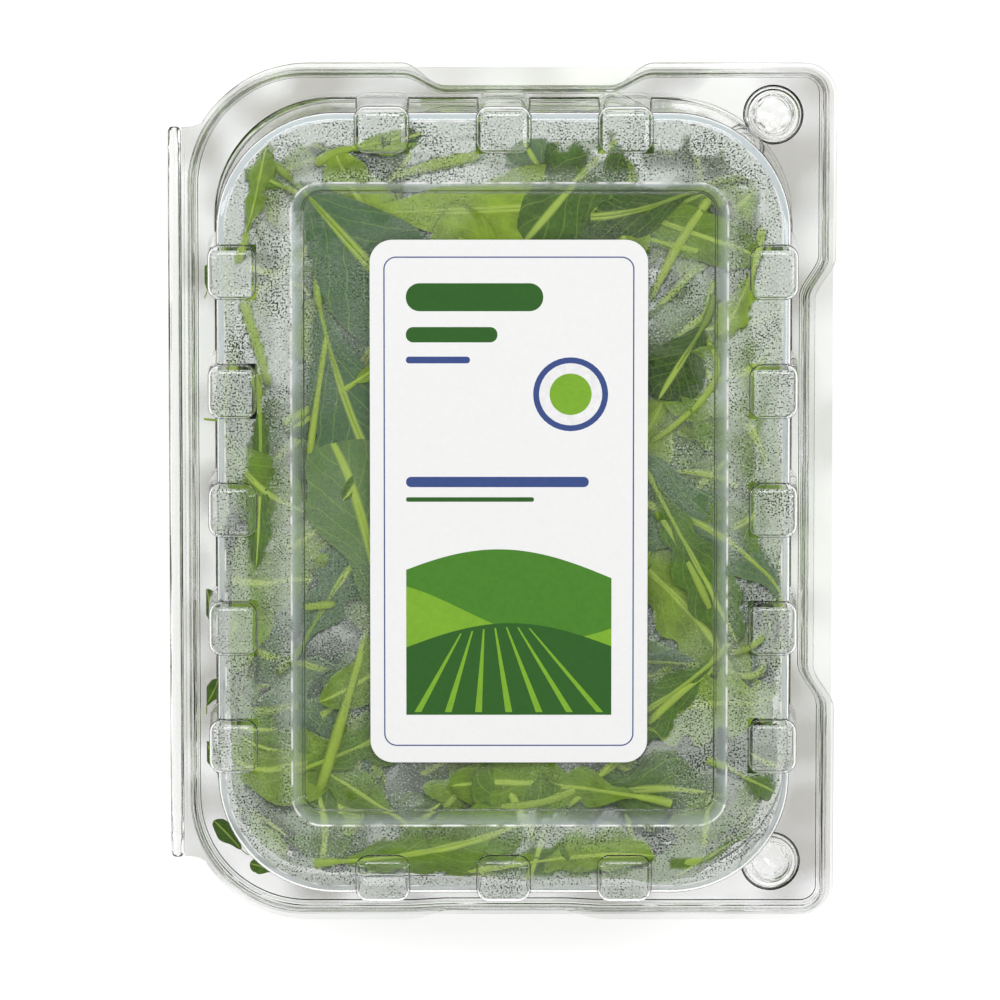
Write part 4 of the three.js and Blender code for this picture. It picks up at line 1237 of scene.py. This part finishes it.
# Bars: middle, size, corner, points in each corner and ink. Discs: radius, layer and ink. Hills: how
# far down, how high, how much of a wave, where in the wave they start, and ink.
PRINT_BARS = ((-7.5, 45.5, 30, 6.2, 3.0, 8, 0), (-12.5, 37.2, 20, 3.4, 1.6, 8, 0),
              (-15.5, 31.6, 14, 1.5, 0.7, 6, 1), (-2.5, 4.5, 40, 2.3, 1.1, 6, 1),
              (-8.5, 0.6, 28, 1.0, 0.45, 6, 0))
PRINT_DISCS = ((8.2, 1, 1), (6.9, 2, 4), (4.6, 3, 2))
PRINT_HILLS = ((18, 7.5, 2.6, 0.4, 3), (24, 6.5, 3.4, 2.2, 2), (33, 6.0, 2.9, 0.1, 0))


def make_print():
    """A general design: bars where words would be, a ring, and rolling green fields with furrows."""
    x, y = LABEL["x"], LABEL["y"]
    shapes = thin_frame(54.8, 109.0, 2.8, 0.28, 1)
    foot, left, right = y - 47.5, x - 22.5, x + 22.5
    bars = [(rounded_block(x + across, y + up, width, length, corner, fine), 1, ink)
            for across, up, width, length, corner, fine, ink in PRINT_BARS]
    discs = [disc(x + 13.5, y + 24.0, radius, level, ink) for radius, level, ink in PRINT_DISCS]
    shapes += bars[:3] + discs + bars[3:]
    for level, (down, rise, turn, start, ink) in enumerate(PRINT_HILLS, 1):
        shapes.append(field(left, right, foot,
                            lambda share: y - down + rise * math.sin(start + share * turn), level, ink))
    for i in range(7):
        share = i / 6
        top, end = x - 3 + 15 * (share - 0.5), x + 40 * (share - 0.5)
        crown = y - 33 + 6 * math.sin(0.1 + (top - left) / (right - left) * 2.9) - 0.9
        furrow = [(end - 0.75, foot + 0.6), (end + 0.75, foot + 0.6),
                  (top + 0.18, crown), (top - 0.18, crown)]
        shapes.append((furrow, 4, 2))
    return sheet_of("label_print", shapes)


LABEL_BASE = PANEL_TOP + 0.02


def make_label():
    sheet = rounded_block(LABEL["x"], LABEL["y"], LABEL["width"], LABEL["length"], LABEL["corner"], 12)
    centre = np.array([LABEL["x"], LABEL["y"]])
    profile = [(1, 0), (1, LABEL_THICKNESS - 0.03), (0.999, LABEL_THICKNESS)]
    return loft("label_paper", [(centre + (sheet - centre) * scale, LABEL_BASE + rise)
                                for scale, rise in profile])


# ---- Stage, light and camera ----

def make_stage():
    size = 3000
    corners = [(-size, -size, 0), (size, -size, 0), (size, size, 0), (-size, size, 0)]
    floor = make_object("studio_floor", corners, [(0, 1, 2, 3)])
    made = Shading("floor_paper")
    shader = made.node("ShaderNodeBsdfPrincipled", Roughness=0.9, Base_Color=grey(0.85),
                       Emission_Color=grey(1), Emission_Strength=0.45)
    give(floor, made.finish(shader.outputs[0]))


def area_light(name, place, target, size, power):
    light = bpy.data.lights.new(name, "AREA")
    light.shape = "RECTANGLE"
    light.size, light.size_y = size
    light.energy = power
    lamp = bpy.data.objects.new(name, light)
    lamp.location = place
    lamp.rotation_euler = (Vector(target) - Vector(place)).to_track_quat("-Z", "Y").to_euler()
    bpy.context.scene.collection.objects.link(lamp)


def make_lights():
    middle = (0, 0, PARTING * MM)
    area_light("top_softbox", (0.0, 0.62, 1.15), middle, (1.1, 0.4), 6.6)
    area_light("left_strip", (-1.1, 0.1, 0.75), middle, (0.16, 1.3), 2.5)
    area_light("right_strip", (1.1, -0.1, 0.8), middle, (0.16, 1.3), 2.3)
    area_light("front_fill", (0.0, -0.95, 0.8), middle, (1.1, 0.3), 1.05)
    made = Shading("studio", world=True)
    height = made.split("ShaderNodeSeparateXYZ", made.places["Generated"])[2]
    sky = made.ramp(height, [(0.0, 0.62), (0.2, 0.8), (0.55, 1.05), (0.8, 1.1), (0.9, 0.8), (0.955, 0.28),
                             (1.0, 0.2)])
    background = made.node("ShaderNodeBackground", Color=sky, Strength=0.6)
    bpy.context.scene.world = made.finish(background.outputs[0])


def make_camera():
    x, y = [(PICTURE_MIDDLE - pixel) * MM_PER_PIXEL for pixel in BOX_MIDDLE_PIXEL]
    target = Vector((x, -y, PARTING)) * MM
    back = Vector((0, math.sin(CAMERA_TILT), math.cos(CAMERA_TILT))) * CAMERA_DISTANCE * MM
    camera = bpy.data.cameras.new("photo_view")
    camera.sensor_width = SENSOR
    camera.lens = SENSOR * CAMERA_DISTANCE / (PICTURE * MM_PER_PIXEL)
    rig = bpy.data.objects.new("photo_view", camera)
    rig.location = target + back
    rig.rotation_euler = (-CAMERA_TILT, 0, 0)
    bpy.context.scene.collection.objects.link(rig)
    bpy.context.scene.camera = rig


# ---- Putting it together ----

bpy.context.scene.view_settings.view_transform = "Standard"
make_stage()
make_lights()
make_camera()

lid = make_lid()
shade_smooth(lid)
mark_faces(lid, LIP, PARTING + LIP_GAP - 0.05, PARTING + LIP_GAP + SHEET, PARTING + PLATEAU - 0.7)
shaded_edge_plastic = shaded_cut_edge()
lid_plastic = clear_plastic("lid_plastic", LID_LEVELS, (0.86, 0.855, 0.845), grey(0.93), grey(0.97))
# The snap buttons' cups take a dark grey tint: painted shade, under the same smears of painted reflection.
shaded_button_plastic = clear_plastic("shaded_button_plastic", CUP_LEVELS, grey(0.3), grey(0.6), grey(0.9), 330.0)
give(lid, lid_plastic, shaded_edge_plastic, shaded_button_plastic)
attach(lid, "lid")
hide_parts("lid_shell")

tray = make_tray()
shade_smooth(tray)
mark_faces(tray, FLANGE, PARTING - LIP_GAP - SHEET, PARTING - LIP_GAP)
tray_plastic = clear_plastic("tray_plastic", TRAY_LEVELS, (0.66, 0.65, 0.635), (0.8, 0.8, 0.805),
                             grey(0.97))
give(tray, tray_plastic, shaded_edge_plastic)
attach(tray, "tray")
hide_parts("base_tray")

leaf_green = leaf_material("rocket_leaf", (0.012, 0.042, 0.002), (0.055, 0.135, 0.004), (0.21, 0.34, 0.01),
                           (0.07, 0.14, 0.075), (0.38, 0.52, 0.08))
top_heap, side_heap = Heap(), Heap()
scatter_top(top_heap, 45, 4.5, 9.0)
scatter_top(top_heap, 55, 2.5, 5.0)
scatter_top(top_heap, 30, 1.2, 3.0, (42, 66))
scatter_top(top_heap, 10, 0.5, 1.0, (44, 68), 0.5, 0.4)
add_shown(top_heap)
add_caught(top_heap)
scatter_sides(side_heap, 200)
top_leaves = top_heap.build("rocket_top_leaves", leaf_green)
side_leaves = side_heap.build("rocket_side_leaves", leaf_green)
core = make_core()
# The core's near-black green is painted shade for the gaps deep in the heap.
give(core, plain_material("shaded_core_green", (0.016, 0.05, 0.007), 0.7, 0.7, 150.0))
for piece in (core, top_leaves, side_leaves):
    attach(piece, "tray")
    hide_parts("rocket_leaves")

bpy.context.view_layer.update()
leaf_tree = BVHTree.FromObject(top_leaves, bpy.context.evaluated_depsgraph_get())
mist = make_mist(leaf_tree)
give(mist, mist_material())
drops = make_drops(2600)
give(drops, water_material())
for piece in (mist, drops):
    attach(piece, "lid")

inks = [plain_material("ink_" + name, colour, 0.45, 0.06) for name, colour in [
    ("forest", (0.02, 0.11, 0.008)), ("navy", (0.035, 0.07, 0.24)), ("lime", (0.2, 0.42, 0.02)),
    ("meadow", (0.06, 0.22, 0.012)), ("white", (0.86, 0.86, 0.86))]]
paper = make_label()
give(paper, plain_material("label_paper", (0.89, 0.89, 0.885), 0.5, 0.012))
prints = make_print()
give(prints, *inks)
for piece in (paper, prints):
    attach(piece, "lid")
    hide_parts("label")

# Bounced light passes the clear pieces, and so does the light of lamps, apart from the tray's tint.
for piece in (lid, tray, mist, drops):
    piece.visible_diffuse = False
    piece.visible_shadow = piece is tray
